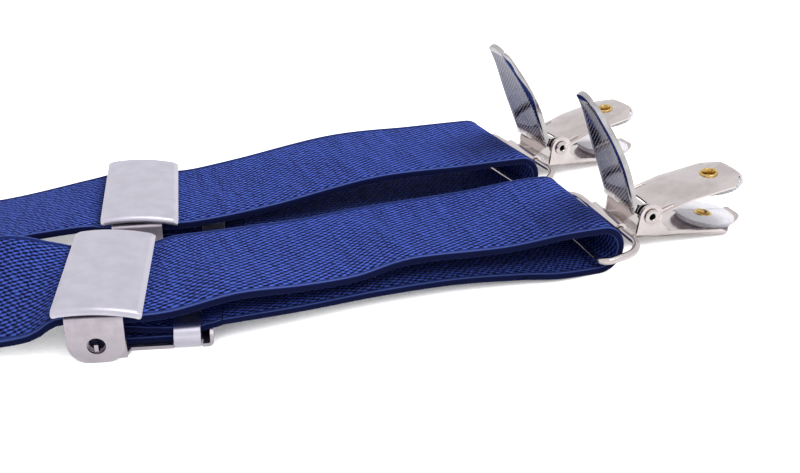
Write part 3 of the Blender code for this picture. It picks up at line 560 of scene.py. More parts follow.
def webbing_finish():
    made, tree, shader = new_finish("navy_webbing", Roughness=0.85, Sheen_Weight=0.05, Sheen_Roughness=0.45)
    feed_all(tree, shader, Sheen_Tint=(0.45, 0.55, 1.0, 1.0), Specular_IOR_Level=0.12)
    cloth = tree.nodes.new("ShaderNodeUVMap")
    cloth.uv_map = "cloth"
    weave = use_group(tree, WEAVE, Vector=cloth.outputs["UV"])
    colour = blend_colours(tree, weave["Thread"], (0.0010, 0.0018, 0.026), (0.075, 0.135, 0.62))
    # Painted highlight: a lighter, greyer blue along each selvedge bead's top.
    colour = blend_colours(tree, maths(tree, "MULTIPLY", weave["Bead"], 0.75), colour, (0.10, 0.155, 0.52))
    # Painted shade: near-black on the strap's side faces.
    colour = blend_colours(tree, maths(tree, "MULTIPLY", weave["Side"], 0.85), colour, (0.003, 0.005, 0.04))
    feed_all(tree, shader, Base_Color=colour, Normal=bump(tree, weave["Height"], 0.00022))
    return made


def metal_finish(name, dark, light, smooth, rough, grain_bump, brushed=None, cloud=260.0):
    """Plated metal: clouded colour, fine grain in its roughness and surface, and sharp edges made smoother
    and lighter, the lightening partly rubbed wear and partly painted highlight.
    """
    made, tree, shader = new_finish(name, metallic=1.0)
    place = object_coordinates(tree)
    mottle = use_group(tree, MOTTLE, Vector=place, Cloud_size=cloud)
    wear_and_highlight = use_group(tree, EDGE_WEAR_AND_HIGHLIGHT, Vector=place)["Wear"]
    colour = blend_colours(tree, mottle["Cloud"], dark, light)
    # Painted highlight, partly real wear: sharp edges lightened towards a brighter copy of the light colour.
    bright = tuple(min(1.0, channel * 1.12) for channel in light)
    colour = blend_colours(tree, maths(tree, "MULTIPLY", wear_and_highlight, 0.6), colour, bright)
    grain = mottle["Grain"]
    if brushed:
        streaks = speckle(tree, stretched(tree, place, brushed), 1000.0, 2.0)
        grain = scaled(tree, streaks, 0.6, maths(tree, "MULTIPLY", grain, 0.4))
    spread = scaled(tree, grain, rough - smooth, smooth)
    spread = maths(tree, "MULTIPLY", spread, scaled(tree, wear_and_highlight, -0.35, 1.0))
    feed_all(tree, shader, Base_Color=colour, Roughness=spread, Normal=bump(tree, grain, grain_bump))
    return made


def plastic_finish():
    made, tree, shader = new_finish("milky_vinyl", IOR=1.46)
    feed_all(tree, shader, Subsurface_Weight=0.35, Transmission_Weight=0.25)
    feed_all(tree, shader, Subsurface_Radius=(1.0, 0.95, 1.1), Subsurface_Scale=0.0015)
    place = object_coordinates(tree)
    mottle = use_group(tree, MOTTLE, Vector=place, Cloud_size=420.0, Grain_size=1800.0)
    colour = blend_colours(tree, mottle["Cloud"], (0.86, 0.85, 0.93), (0.95, 0.94, 0.99))
    rough = scaled(tree, mottle["Grain"], 0.2, 0.22)
    feed_all(tree, shader, Base_Color=colour, Roughness=rough, Normal=bump(tree, mottle["Cloud"], 0.00008))
    return made


def leather_finish():
    made, tree, shader = new_finish("black_leather", Coat_Weight=0.15, Coat_Roughness=0.35)
    place = object_coordinates(tree)
    pores = tree.nodes.new("ShaderNodeTexVoronoi")
    pores.feature = "DISTANCE_TO_EDGE"
    tree.links.new(place, pores.inputs["Vector"])
    pores.inputs["Scale"].default_value = 1300.0
    wear_and_highlight = use_group(tree, EDGE_WEAR_AND_HIGHLIGHT, Vector=place)["Wear"]
    mottle = use_group(tree, MOTTLE, Vector=place, Cloud_size=120.0)
    colour = blend_colours(tree, mottle["Cloud"], (0.010, 0.009, 0.011), (0.026, 0.023, 0.024))
    colour = blend_colours(tree, maths(tree, "MULTIPLY", wear_and_highlight, 0.5), colour, (0.075, 0.062, 0.055))
    height = scaled(tree, mottle["Grain"], 0.3, ramp(tree, pores.outputs["Distance"], 0.0, 0.22))
    rough = scaled(tree, mottle["Grain"], 0.3, 0.38)
    feed_all(tree, shader, Base_Color=colour, Roughness=rough, Normal=bump(tree, height, 0.00012))
    return made


def thread_finish():
    made, tree, shader = new_finish("navy_thread", Roughness=0.6, Sheen_Weight=0.3)
    place = object_coordinates(tree)
    twist = speckle(tree, stretched(tree, place, (1.0, 1.0, 3.0)), 1800.0, 2.0)
    colour = blend_colours(tree, twist, (0.008, 0.014, 0.09), (0.07, 0.11, 0.42))
    feed_all(tree, shader, Base_Color=colour, Normal=bump(tree, twist, 0.0001))
    return made


# Each metal: its name, darker and lighter colour, smoothest and roughest, depth of grain, and other settings
METALS = {
    "satin_nickel": (
        ("satin_nickel_plate", (0.565, 0.545, 0.62), (0.63, 0.605, 0.69), 0.28, 0.44, 0.00001),
        {"cloud": 210.0},
    ),
    "ear_nickel": (
        ("brushed_ear_plate", (0.48, 0.435, 0.48), (0.57, 0.52, 0.565), 0.28, 0.5, 0.00002),
        {"brushed": (1.6, 1.6, 0.12)},
    ),
    "bright_nickel": (
        ("bright_nickel_plate", (0.53, 0.475, 0.465), (0.64, 0.58, 0.57), 0.12, 0.28, 0.000006),
        {"cloud": 160.0},
    ),
    "chrome": (("polished_chrome", (0.40, 0.385, 0.39), (0.52, 0.50, 0.505), 0.04, 0.10, 0.000002), {}),
    # Painted shade: near-black finish for the disc seen through the lever's pivot holes.
    "painted_shade_disc": (("pivot_painted_shade", (0.010, 0.010, 0.022), (0.02, 0.02, 0.04), 0.35, 0.5, 0.00001), {}),
    # Painted reflection: the lever's face is given a dark navy colour for the navy strap it mirrors.
    "painted_reflection_chrome": (
        ("leaf_face_painted_reflection", (0.045, 0.05, 0.10), (0.075, 0.08, 0.15), 0.04, 0.10, 0.000002),
        {},
    ),
    "brass": (
        ("polished_brass", (0.50, 0.33, 0.10), (0.74, 0.54, 0.22), 0.12, 0.26, 0.000006),
        {"cloud": 700.0},
    ),
}
FINISHES = {"webbing": webbing_finish()}
FINISHES.update({name: metal_finish(*looks, **more) for name, (looks, more) in METALS.items()})
FINISHES.update(clear_plastic=plastic_finish(), leather=leather_finish(), thread=thread_finish())


# Shape helpers, all in millimetres


def arc(centre, radius, start, end, steps):
    """Points round a centre from one angle to another, both in degrees."""
    points = []
    for step in range(steps + 1):
        angle = math.radians(start + (end - start) * step / steps)
        points.append((centre[0] + radius * math.cos(angle), centre[1] + radius * math.sin(angle)))
    return points


def circle(radius, steps, centre=(0.0, 0.0)):
    return arc(centre, radius, 360, 0, steps)[:-1]


def spread(low, high, count):
    return [low + (high - low) * step / count for step in range(count + 1)]


def smoothstep(value, low, high):
    t = min(max((value - low) / (high - low), 0.0), 1.0)
    return t * t * (3 - 2 * t)


def from_object(obj):
    """A bmesh of the evaluated object, which is removed."""
    bpy.context.view_layer.update()
    graph = bpy.context.evaluated_depsgraph_get()
    mesh = bpy.data.meshes.new_from_object(obj.evaluated_get(graph))
    bpy.data.objects.remove(obj, do_unlink=True)
    bm = bmesh.new()
    bm.from_mesh(mesh)
    bpy.data.meshes.remove(mesh)
    bmesh.ops.remove_doubles(bm, verts=bm.verts, dist=WELD)
    return bm


def flat(outlines):
    """A flat sheet in the XY plane inside an outline, less its holes."""
    curve = bpy.data.curves.new("outline", "CURVE")
    curve.dimensions = "2D"
    curve.fill_mode = "BOTH"
    for outline in outlines:
        spline = curve.splines.new("POLY")
        spline.points.add(len(outline) - 1)
        for point, (x, y) in zip(spline.points, outline):
            point.co = (x, y, 0.0, 1.0)
        spline.use_cyclic_u = True
    return from_object(linked("outline", curve))


def mirrored(side):
    """A closed outline, symmetric about the X axis, from the points of its upper half."""
    return side + [(x, -y) for x, y in reversed(side)]


def slice_at(bm, axis, positions):
    """Cuts the faces with planes across an axis, so that the sheet can bend there."""
    normal = Vector((1.0, 0.0, 0.0)) if axis == "X" else Vector((0.0, 1.0, 0.0))
    for position in positions:
        geometry = bm.verts[:] + bm.edges[:] + bm.faces[:]
        bmesh.ops.bisect_plane(bm, geom=geometry, dist=0.001, plane_co=normal * position, plane_no=normal)


def shape(bm, move):
    for vert in bm.verts:
        vert.co = Vector(move(*vert.co))


def thicken(bm, thickness):
    """Gives a sheet its thickness, half to each side."""
    bmesh.ops.recalc_face_normals(bm, faces=bm.faces)
    obj = linked("sheet", mesh_of(bm, "sheet"))
    solid = obj.modifiers.new("thickness", "SOLIDIFY")
    solid.thickness = thickness
    solid.offset = 0.0
    return from_object(obj)


def joined(parts):
    """Several bmeshes as one, each staying its own closed shell."""
    mesh = bpy.data.meshes.new("joined")
    bm = bmesh.new()
    for part in parts:
        bmesh.ops.recalc_face_normals(part, faces=part.faces)
        part.to_mesh(mesh)
        part.free()
        bm.from_mesh(mesh)
    bpy.data.meshes.remove(mesh)
    return bm


def rotated(bm, degrees, axis):
    turn = Matrix.Rotation(math.radians(degrees), 3, axis)
    bmesh.ops.rotate(bm, verts=bm.verts, cent=(0, 0, 0), matrix=turn)
    return bm


def turned(profile, steps):
    """A closed profile of (radius, height) points, spun round Z."""
    bm = bmesh.new()
    verts = [bm.verts.new((radius, 0.0, height)) for radius, height in profile]
    edges = [bm.edges.new((verts[i - 1], verts[i])) for i in range(len(verts))]
    whole = {"angle": 2 * math.pi, "steps": steps, "use_merge": True}
    bmesh.ops.spin(bm, geom=verts + edges, cent=(0, 0, 0), axis=(0, 0, 1), **whole)
    bmesh.ops.remove_doubles(bm, verts=bm.verts, dist=WELD)
    bmesh.ops.recalc_face_normals(bm, faces=bm.faces)
    return bm


def strip(line, thickness, half_width, slices=1):
    """A bent strip: a line in the XZ plane, made as wide as wanted along Y, then thickened."""
    bm = bmesh.new()
    bmesh.ops.create_grid(bm, x_segments=len(line) - 1, y_segments=slices, size=0.5)
    count = len(line) - 1
    for vert in bm.verts:
        x, z = line[round((vert.co.x + 0.5) * count)]
        vert.co = (x, vert.co.y * 2 * half_width, z)
    return thicken(bm, thickness)


def rod(x, z, radius, low_y, high_y, sides=24):
    """A round bar along Y."""
    bm = bmesh.new()
    turn = Matrix.Rotation(math.radians(90), 4, "X")
    place = Matrix.Translation((x, (low_y + high_y) / 2, z)) @ turn
    size = {"radius1": radius, "radius2": radius, "depth": high_y - low_y}
    bmesh.ops.create_cone(bm, cap_ends=True, segments=sides, matrix=place, **size)
    return bm


def shifted(bm, x=0.0, y=0.0):
    bmesh.ops.translate(bm, verts=bm.verts, vec=(x, y, 0.0))
    return bm


def side_sheet(outlines, thickness, y):
    """A flat sheet with its holes, stood up in the XZ plane at a given place across."""
    return shifted(thicken(rotated(flat(outlines), 90, "X"), thickness), y=y)


def piece(name, bm, place, finish, body, slot=None, nodes=(), rim=0.0, sharp=35.0, second=None):
    """Makes a bmesh a finished piece: placed, shaded, painted, with rounded rims, riding on its body."""
    bm.transform(place)
    mesh = mesh_of(bm, name)
    mesh.shade_smooth()
    mesh.set_sharp_from_angle(angle=math.radians(sharp))
    mesh.materials.append(FINISHES[finish])
    if second:
        mesh.materials.append(FINISHES[second])
    obj = linked(name, mesh)
    if rim:
        edge = obj.modifiers.new("rim", "BEVEL")
        edge.width = rim * MM
        edge.segments = 2
        edge.limit_method = "ANGLE"
        edge.angle_limit = math.radians(40)
        even = obj.modifiers.new("even_normals", "WEIGHTED_NORMAL")
        even.keep_sharp = True
    if body:
        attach(obj, body)
    if nodes:
        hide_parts(*nodes)
    return obj


def hinge_frame(joint_name, tilt=0.0):
    """Placement of a hinge's own frame: X forward, Y along its axis, then tilted nose-up."""
    joint = HINGES[joint_name]
    axis = joint["axis"]
    turn = Matrix.Rotation(math.atan2(-axis[0], axis[1]), 4, "Z")
    return Matrix.Translation(joint["pos_m"]) @ turn @ Matrix.Rotation(-tilt, 4, "Y") @ Matrix.Scale(MM, 4)


# Webbing

# Half of the webbing's section from its edge inwards: distance from the edge, share of half the thickness
EDGE_SECTION = [
    (0.0, 0.0),
    (0.05, 0.42),
    (0.2, 0.8),
    (0.45, 1.02),
    (0.8, 1.12),
    (1.15, 1.04),
    (1.5, 0.86),
    (1.9, 0.88),
    (2.5, 1.0),
    (5.0, 1.0),
    (8.0, 1.0),
    (11.0, 1.0),
    (14.0, 1.0),
]


def section_points():
    """The webbing's whole section as (place across, height) pairs: -1 to 1 across, heights as shares."""
    half = WEB_WIDTH / 2
    left = [(distance / half - 1.0, height) for distance, height in EDGE_SECTION]
    top = left + [(0.0, 1.0)] + [(-place, height) for place, height in reversed(left)]
    bottom = [(place, -height) for place, height in reversed(top[1:-1])]
    return top + bottom


def between(rows, position):
    """A smooth curve through the rows of a route, read at a position counted in rows."""
    index = min(int(position), len(rows) - 2)
    t = position - index
    p0, p1 = rows[max(index - 1, 0)], rows[index]
    p2, p3 = rows[index + 1], rows[min(index + 2, len(rows) - 1)]
    values = []
    for a, b, c, d in zip(p0, p1, p2, p3):
        linear = (c - a) / 2
        square = a - 2.5 * b + 2 * c - d / 2
        cube = (d - a) / 2 + 1.5 * (b - c)
        values.append(b + linear * t + square * t**2 + cube * t**3)
    return tuple(values)


def smooth(rows, pitch=2.2):
    """The route with rows about a pitch apart, and at least three between given ones."""
    dense = []
    for index in range(len(rows) - 1):
        a, b = Vector(rows[index][:3]), Vector(rows[index + 1][:3])
        count = max(3, round((b - a).length / pitch))
        dense += [between(rows, index + step / count) for step in range(count)]
    return dense + [rows[-1]]


def fold(centre, turn, going_down=True, steps=22):
    """Rows of a half turn round the ring's bar, in a strap that heads along the turn angle."""
    forward = Vector((math.cos(math.radians(turn)), math.sin(math.radians(turn))))
    rows = []
    for step in range(steps + 1):
        angle = math.radians(90 - 180 * step / steps)
        if not going_down:
            angle = -angle
        spot = Vector(centre) + forward * FOLD_RADIUS * math.cos(angle)
        rows.append((spot.x, spot.y, FOLD_CENTRE_Z + FOLD_RADIUS * math.sin(angle), turn, WEB_WIDTH, 0.0))
    return rows


def across_of(row):
    heading, lean = math.radians(row[3]), math.radians(row[5])
    level = math.cos(lean)
    return Vector((-math.sin(heading) * level, math.cos(heading) * level, math.sin(lean)))


def line_length(points):
    return sum((b - a).length for a, b in zip(points, points[1:]))


def ribbon(points, acrosses, widths, thicks, start=0.0):
    """Webbing with beaded selvedges swept along points, with its map in millimetres."""
    section = section_points()
    columns, count = len(section), len(points) - 1
    lengths = [start]
    for a, b in zip(points, points[1:]):
        lengths.append(lengths[-1] + (b - a).length)
    normals = []
    for index, across in enumerate(acrosses):
        along = points[min(index + 1, count)] - points[max(index - 1, 0)]
        normals.append(along.cross(across).normalized())
    bm = bmesh.new()
    cloth = bm.loops.layers.uv.new("cloth")
    bmesh.ops.create_grid(bm, x_segments=columns, y_segments=count, size=0.5, calc_uvs=True)
    for face in bm.faces:
        for loop in face.loops:
            column = round((loop.vert.co.x + 0.5) * columns)
            row = round((loop.vert.co.y + 0.5) * count)
            place = section[column % columns][0]
            loop[cloth].uv = ((place + 1) * WEB_WIDTH / 2, lengths[row])
    for vert in bm.verts:
        place, height = section[round((vert.co.x + 0.5) * columns) % columns]
        row = round((vert.co.y + 0.5) * count)
        slack = 0.16 * noise.noise(Vector((lengths[row] / 17.0, place * 1.3, start)))
        lift = height * thicks[row] / 2 + slack * (1 - abs(place) ** 4)
        vert.co = points[row] + acrosses[row] * place * widths[row] / 2 + normals[row] * lift
    bmesh.ops.remove_doubles(bm, verts=bm.verts, dist=WELD)
    rims = [edge for edge in bm.edges if edge.is_boundary]
    bmesh.ops.holes_fill(bm, edges=rims, sides=0)
    bmesh.ops.recalc_face_normals(bm, faces=bm.faces)
    return bm


def web_piece(name, rows, thicks, body, nodes, start=0.0):
    points = [Vector(row[:3]) for row in rows]
    widths = [row[4] for row in rows]
    bm = ribbon(points, [across_of(row) for row in rows], widths, thicks, start)
    obj = piece(name, bm, Matrix.Scale(MM, 4), "webbing", body, nodes=nodes, sharp=60.0)
    return obj


def adjuster_frame(side):
    """Placement of an adjuster, on the ground under its cover."""
    return Matrix.Translation((0, 0, -LEVER_AXIS_Z * MM)) @ hinge_frame(side + "_adjuster_hinge")


def meeting_row(side):
    """Where a front strap's return run meets its own end, which the adjuster's lever holds."""
    place = adjuster_frame(side)
    spot = place @ Vector((END_REACH, 0.0, END_HEIGHT)) / MM
    ahead = place.to_3x3() @ Vector((1.0, 0.0, 0.0))
    return (*spot, math.degrees(math.atan2(ahead.y, ahead.x)), END_WIDTH, 0.0)


def build_front_strap(side, route, turn_round, back_run):
    """The strap to its ring and round it, then the run back to the adjuster's lever."""
    node = side + "_front_strap"
    out = smooth(route + turn_round[:1])[:-1] + turn_round
    back = smooth([turn_round[-1]] + back_run + [meeting_row(side)], 1.5)[1:]
    split = next(index for index, row in enumerate(back) if row[0] < TAIL_FROM_X)
    main = out + back[: split + 1]
    web_piece(node + "_main", main, [WEB_THICK] * len(main), "root", [node])
    tail = back[split:]
    count = len(tail) - 1
    thicks = [WEB_THICK + (END_THICK - WEB_THICK) * step / count for step in range(count + 1)]
    length = line_length([Vector(row[:3]) for row in main])
    obj = web_piece(side + "_return_run", tail, thicks, None, [], length)
    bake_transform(obj)


def strap_end_line():
    """Middle line of the strap's end in the adjuster's XZ plane: in, round the bar and back."""
    radius = WEB_ROUND_BAR + END_THICK / 2
    upper, lower = UPPER_PLY_Z, LOWER_PLY_Z
    line = [(END_REACH, END_HEIGHT), (24.9, 5.4), (23.1, 4.75), (CRIMP_TO, upper + 0.05), (17.5, upper)]
    line += [(CRIMP_FROM, upper), (11.0, 4.6), (7.2, WEB_BAR[1] + radius * 0.95)]
    line += arc(WEB_BAR, radius, 90, 270, 12)
    return line + [(7.2, WEB_BAR[1] - radius), (CRIMP_FROM, lower - 0.05), (CRIMP_TO, lower)]


def build_strap_end(side):
    """The strap's end, which rides on the adjuster's lever; it's a little narrower inside the crimp."""
    place = adjuster_frame(side)
    forward = place.to_3x3() @ Vector((1.0, 0.0, 0.0))
    heading = math.degrees(math.atan2(forward.y, forward.x))
    rows = []
    for x, z in strap_end_line():
        spot = place @ Vector((x, 0.0, z)) / MM
        rows.append((*spot, heading, END_WIDTH if x > 23.3 else END_WIDTH - 1.0, 0.0))
    node = side + "_strap_end"
    rows = smooth(rows, 1.0)
    thicks = [END_THICK] * len(rows)
    web_piece(node + "_webbing", rows, thicks, side + "_adjuster_lever", [node])


def build_straps():
    build_front_strap("right", RIGHT_ROUTE, fold(*RIGHT_FOLD), RIGHT_RETURN)
    build_front_strap("left", LEFT_ROUTE, fold(*LEFT_FOLD), LEFT_RETURN)
    for side in ("right", "left"):
        build_strap_end(side)
    turn_round = fold(*BACK_FOLD, going_down=False)
    rows = smooth(BACK_ROUTE + turn_round[:1])[:-1] + turn_round
    rows += smooth([turn_round[-1]] + BACK_RETURN)[1:]
    thicks = [WEB_THICK] * len(rows)
    web_piece("back_strap_webbing", rows, thicks, "root", ["back_strap"])


# Back patch


def patch_outline(steps=10):
    """Shield outline: wide over the two front straps, narrow over the back strap."""
    front, back, corner = PATCH_FRONT, PATCH_BACK, PATCH_CORNER
    wide, narrow = PATCH_FRONT_HALF, PATCH_BACK_HALF
    outline = arc((front - corner, wide - corner), corner, 0, 90, steps)
    outline += [(front - 2 * corner, wide), (0.0, wide - PATCH_WAIST)]
    outline += arc((back + corner, narrow - corner + 1.0), corner, 110, 180, steps)
    return mirrored(outline)


def patch_sink(x, y):
    """How far the outer leather is drawn down where no strap lies under it."""
    if x > 0:
        return PATCH_SINK * smoothstep(abs(y), 36.2, 40.0)
    return PATCH_SINK * smoothstep(abs(y), 18.2, 23.0 + max(x + 12, 0) * 1.2)


def stitch(bm, start, end):
    """One thread stitch: a slim rounded bead that dips into the leather at both ends."""
    before = set(bm.verts)
    bmesh.ops.create_uvsphere(bm, u_segments=6, v_segments=6, radius=1.0)
    made = [vert for vert in bm.verts if vert not in before]
    middle, along = (start + end) / 2, end - start
    turn = along.to_track_quat("X", "Z").to_matrix().to_4x4()
    size = Matrix.Diagonal((along.length * 0.46, STITCH_RADIUS, STITCH_RADIUS, 1.0))
    bmesh.ops.transform(bm, matrix=Matrix.Translation(middle) @ turn @ size, verts=made)


def stitched_line(bm, points):
    """Stitches of one pitch along a run of points."""
    length = line_length(points)
    count = max(1, round(length / STITCH_PITCH))
    marks, walked, index = [], 0.0, 0
    for step in range(count + 1):
        target = length * step / count
        while index < len(points) - 2:
            step_length = (points[index + 1] - points[index]).length
            if walked + step_length >= target:
                break
            walked += step_length
            index += 1
        part = points[index + 1] - points[index]
        marks.append(points[index] + part * min((target - walked) / max(part.length, MM), 1.0))
    for start, end in zip(marks, marks[1:]):
        stitch(bm, start, end)


def build_patch():
    """Two leather shields with the straps between them, and the stitching of patch and back loop."""
    metres = Matrix.Scale(MM, 4)
    levels = {"patch_inner": PATCH_INNER_Z, "patch_outer": PATCH_OUTER_Z}
    for name, height in levels.items():
        bm = flat([patch_outline()])
        slice_at(bm, "X", spread(PATCH_BACK, PATCH_FRONT, 36)[1:-1])
        slice_at(bm, "Y", spread(-PATCH_FRONT_HALF, PATCH_FRONT_HALF, 40)[1:-1])
        sink = patch_sink if name == "patch_outer" else lambda x, y: 0.0
        shape(bm, lambda x, y, z: (x, y, height - sink(x, y)))
        piece(name + "_leather", thicken(bm, LEATHER), metres, "leather", "root", nodes=[name], rim=0.35)
    outline = patch_outline()
    outline.append(outline[0])
    inset = 1 - SEAM_INSET / PATCH_FRONT_HALF
    middle = (PATCH_FRONT + PATCH_BACK) / 2
    seam = []
    for x, y in outline:
        x, y = (x - middle) * inset + middle, y * inset
        seam.append(Vector((x, y, PATCH_OUTER_Z + LEATHER / 2 + 0.05 - patch_sink(x, y))))
    bm = bmesh.new()
    stitched_line(bm, seam)
    piece("patch_stitching", bm, metres, "thread", "root", slot="webbing")
    back_seam = bmesh.new()
    top = BACK_RETURN[-1][2] + WEB_THICK / 2 + 0.1
    corners = [Vector((x, y, top)) for x, y in BACK_BOX_CORNERS]
    for start, end in zip(corners, corners[1:] + corners[:1]):
        stitched_line(back_seam, [start, end])
    stitched_line(back_seam, [corners[0], corners[2]])
    stitched_line(back_seam, [corners[1], corners[3]])
    piece("back_loop_stitching", back_seam, metres, "thread", "root", slot="webbing")


# Adjuster


def cover_sheet():
    """Arched plate with a bevelled strip down each long edge and its ends rolled down."""
    roll_from, roll_radius, corner = COVER_ROLL_FROM, COVER_ROLL_RADIUS, COVER_CORNER
    half_length = COVER_HALF_LENGTH - COVER_SHEET / 2
    reach = roll_from + COVER_ROLL_LENGTH
    outline = arc((half_length - corner, reach - corner), corner, 0, 90, 5)
    outline += arc((corner - half_length, reach - corner), corner, 90, 180, 5)
    bm = flat([mirrored(outline)])
    slice_at(bm, "X", spread(-half_length, half_length, 22)[1:-1] + list(COVER_CREASES))
    rolls = spread(roll_from, reach, 8)[:-1]
    slice_at(bm, "Y", rolls + [-at for at in rolls] + spread(-16.0, 16.0, 8))

    def bend(x, s, z):
        height = COVER_TOP - COVER_SHEET / 2 - COVER_ARCH * (x / half_length) ** 2
        height -= COVER_BEVEL * smoothstep(abs(x), COVER_BEVEL_FROM, half_length + 0.9)
        over = max(abs(s) - roll_from, 0.0) / roll_radius
        y = min(abs(s), roll_from) + roll_radius * math.sin(over)
        return (x, math.copysign(y, s), height - roll_radius * (1 - math.cos(over)))

    shape(bm, bend)
    return thicken(bm, COVER_SHEET)


def channel_sheet():
    """The frame as one bent sheet: a top plate and an ear down each side, holed for the lever."""
    bend_radius, corner = BEND_RADIUS, EAR_CORNER
    top = STRAP_IN_ADJUSTER_Z + WEB_THICK / 2 + 2 * GAP
    bend_from = EAR_OUTER - EAR_SHEET / 2 - bend_radius
    bend_to = bend_from + bend_radius * math.pi / 2
    reach = bend_to + top - bend_radius - FLOOR
    hole_s = bend_to + top - bend_radius - LEVER_AXIS_Z
    outline = arc((EAR_HALF - corner, reach - corner), corner, 0, 90, 10)
    outline += arc((corner - EAR_HALF, reach - corner), corner, 90, 180, 10)
    holes = [circle(EAR_HOLE, 32, (0.0, side * hole_s)) for side in (-1, 1)]
    bm = flat([mirrored(outline)] + holes)
    bends = spread(bend_from, bend_to, 6)
    slice_at(bm, "Y", bends + [-at for at in bends])

    def bend(x, s, z):
        over = min(max(abs(s) - bend_from, 0.0) / bend_radius, math.pi / 2)
        y = min(abs(s), bend_from) + bend_radius * math.sin(over)
        height = top - bend_radius * (1 - math.cos(over)) - max(abs(s) - bend_to, 0.0)
        return (x, math.copysign(y, s), height)

    shape(bm, bend)
    return thicken(bm, EAR_SHEET)


def lever_plate():
    """Lever's floor: notched for the crimp, with its end turned up behind it."""
    half, notch, bend_radius = END_WIDTH / 2, CRIMP_NOTCH, BEND_RADIUS
    bend_from = LEVER_END - LEVER_SHEET / 2 - bend_radius
    bend_to = bend_from + bend_radius * math.pi / 2
    lip, corner = bend_to + LEVER_LIP, LEVER_LIP_CORNER
    side = PLATE_SHOULDER + [(6.6, half), (CRIMP_FROM - GAP, half), (CRIMP_FROM - GAP, notch)]
    side += [(CRIMP_TO + GAP, notch), (CRIMP_TO + GAP, half), (lip - corner, half), (lip, half - corner)]
    bm = flat([mirrored(side[::-1])])
    slice_at(bm, "X", spread(bend_from, bend_to, 6))
    low = FLOOR + LEVER_SHEET / 2

    def bend(s, y, z):
        over = min(max(s - bend_from, 0.0) / bend_radius, math.pi / 2)
        x = min(s, bend_from) + bend_radius * math.sin(over)
        return (x, y, low + bend_radius * (1 - math.cos(over)) + max(s - bend_to, 0.0))

    shape(bm, bend)
    return thicken(bm, LEVER_SHEET)


def build_adjuster_lever(side, place):
    """Floor with its cheeks, toothed cam, web bar, a hooked tongue through each ear, and a near-black disc
    of painted shade just inside each cheek's hole.
    """
    axis = LEVER_AXIS_Z
    parts = [lever_plate()]
    cheek = [(-2.0, axis - 1.6), (1.5, FLOOR), (6.0, FLOOR), (6.0, axis + 0.2), (2.2, axis + 2.0)]
    cheek += [(1.2, CAM_TOP - 0.8), (-1.2, CAM_TOP - 0.8), (-2.0, axis + 1.0)]
    opening = circle(CHEEK_HOLE, 24, (0.0, axis))
    for edge in (-1, 1):
        parts.append(side_sheet([cheek, opening], LEVER_SHEET, edge * CHEEK_Y))
        # Painted shade: a near-black disc just inside each cheek, seen through its hole round the tongue.
        painted_shade_disc = side_sheet([circle(SHADE_DISC_RADIUS, 24, (0.0, axis))], SHADE_DISC_SHEET, edge * SHADE_DISC_Y)
        for face in painted_shade_disc.faces:
            face.material_index = 1
        parts.append(painted_shade_disc)
        hook = strip([(y * edge, z + axis) for z, y in TONGUE], TONGUE_SHEET, TONGUE_HALF)
        parts.append(rotated(hook, 90, "Z"))
    teeth = [(-CAM_HALF, axis + CAM_ROOT), (CAM_HALF, axis + CAM_ROOT)]
    for tooth in range(TEETH_PER_SIDE, -TEETH_PER_SIDE - 1, -1):
        teeth.append((tooth * TOOTH_PITCH, CAM_TOP if tooth % 2 else CAM_TOP - TOOTH_DEPTH))
    parts.append(rotated(side_sheet([teeth], CAM_THICK, 0.0), 90, "Z"))
    parts.append(rod(*WEB_BAR, WEB_BAR_RADIUS, -WEB_BAR_HALF, WEB_BAR_HALF))
    node = side + "_adjuster_lever"
    looks = {"slot": "satin_nickel", "rim": 0.12, "second": "painted_shade_disc"}
    piece(node + "_plate", joined(parts), place, "ear_nickel", node, nodes=[node], **looks)


def crimp_band():
    """Band pressed over the two plies, its ends curled under the lever's plate."""
    wall, corner = CRIMP_WALL, CRIMP_CORNER
    right, up, down = CRIMP_HALF - wall / 2, CRIMP_TOP - wall / 2, FLOOR + wall / 2
    line = [(CRIMP_CURL_Y, down)] + arc((right - corner, down + corner), corner, -90, 0, 10)
    line += arc((right - corner, up - corner), corner, 0, 90, 10)
    line += [(0.0, up)]
    line += [(-y, z) for y, z in reversed(line[:-1])]
    bm = rotated(strip(line, wall, (CRIMP_TO - CRIMP_FROM) / 2), 90, "Z")
    return shifted(bm, x=(CRIMP_FROM + CRIMP_TO) / 2)


def build_adjusters():
    for side in ("right", "left"):
        place = adjuster_frame(side)
        cover, channel, crimp = (side + end for end in ("_adjuster_cover", "_adjuster_frame", "_end_crimp"))
        tilted = place @ Matrix.Rotation(math.radians(COVER_TILT), 4, "Y")
        piece(cover + "_plate", cover_sheet(), tilted, "satin_nickel", "root", nodes=[cover], rim=0.16)
        looks = {"slot": "satin_nickel", "rim": 0.12}
        piece(channel + "_channel", channel_sheet(), place, "ear_nickel", "root", nodes=[channel], **looks)
        build_adjuster_lever(side, place)
        lever = side + "_adjuster_lever"
        piece(crimp + "_band", crimp_band(), place, "satin_nickel", lever, nodes=[crimp], rim=0.14)


# Clip


def wire_ring(slope, reach):
    """Wire bent to a rectangle with rounded corners: one bar in the strap's loop, one in the clip's curl."""
    corner, wide_corner, half = RING_CORNER, RING_WIDE_CORNER, RING_HALF
    points = arc((reach - wide_corner, half - wide_corner), wide_corner, 0, 90, 14)
    points += arc((corner, half - corner), corner, 90, 180, 10)
    curve = bpy.data.curves.new("wire", "CURVE")
    curve.dimensions = "3D"
    curve.bevel_depth = WIRE_RADIUS
    curve.bevel_resolution = 6
    spline = curve.splines.new("POLY")
    loop = mirrored(points)
    spline.points.add(len(loop) - 1)
    for point, (x, y) in zip(spline.points, loop):
        point.co = (x, y, 0.0, 1.0)
    spline.use_cyclic_u = True
    return rotated(from_object(linked("wire", curve)), -math.degrees(slope), "Y")


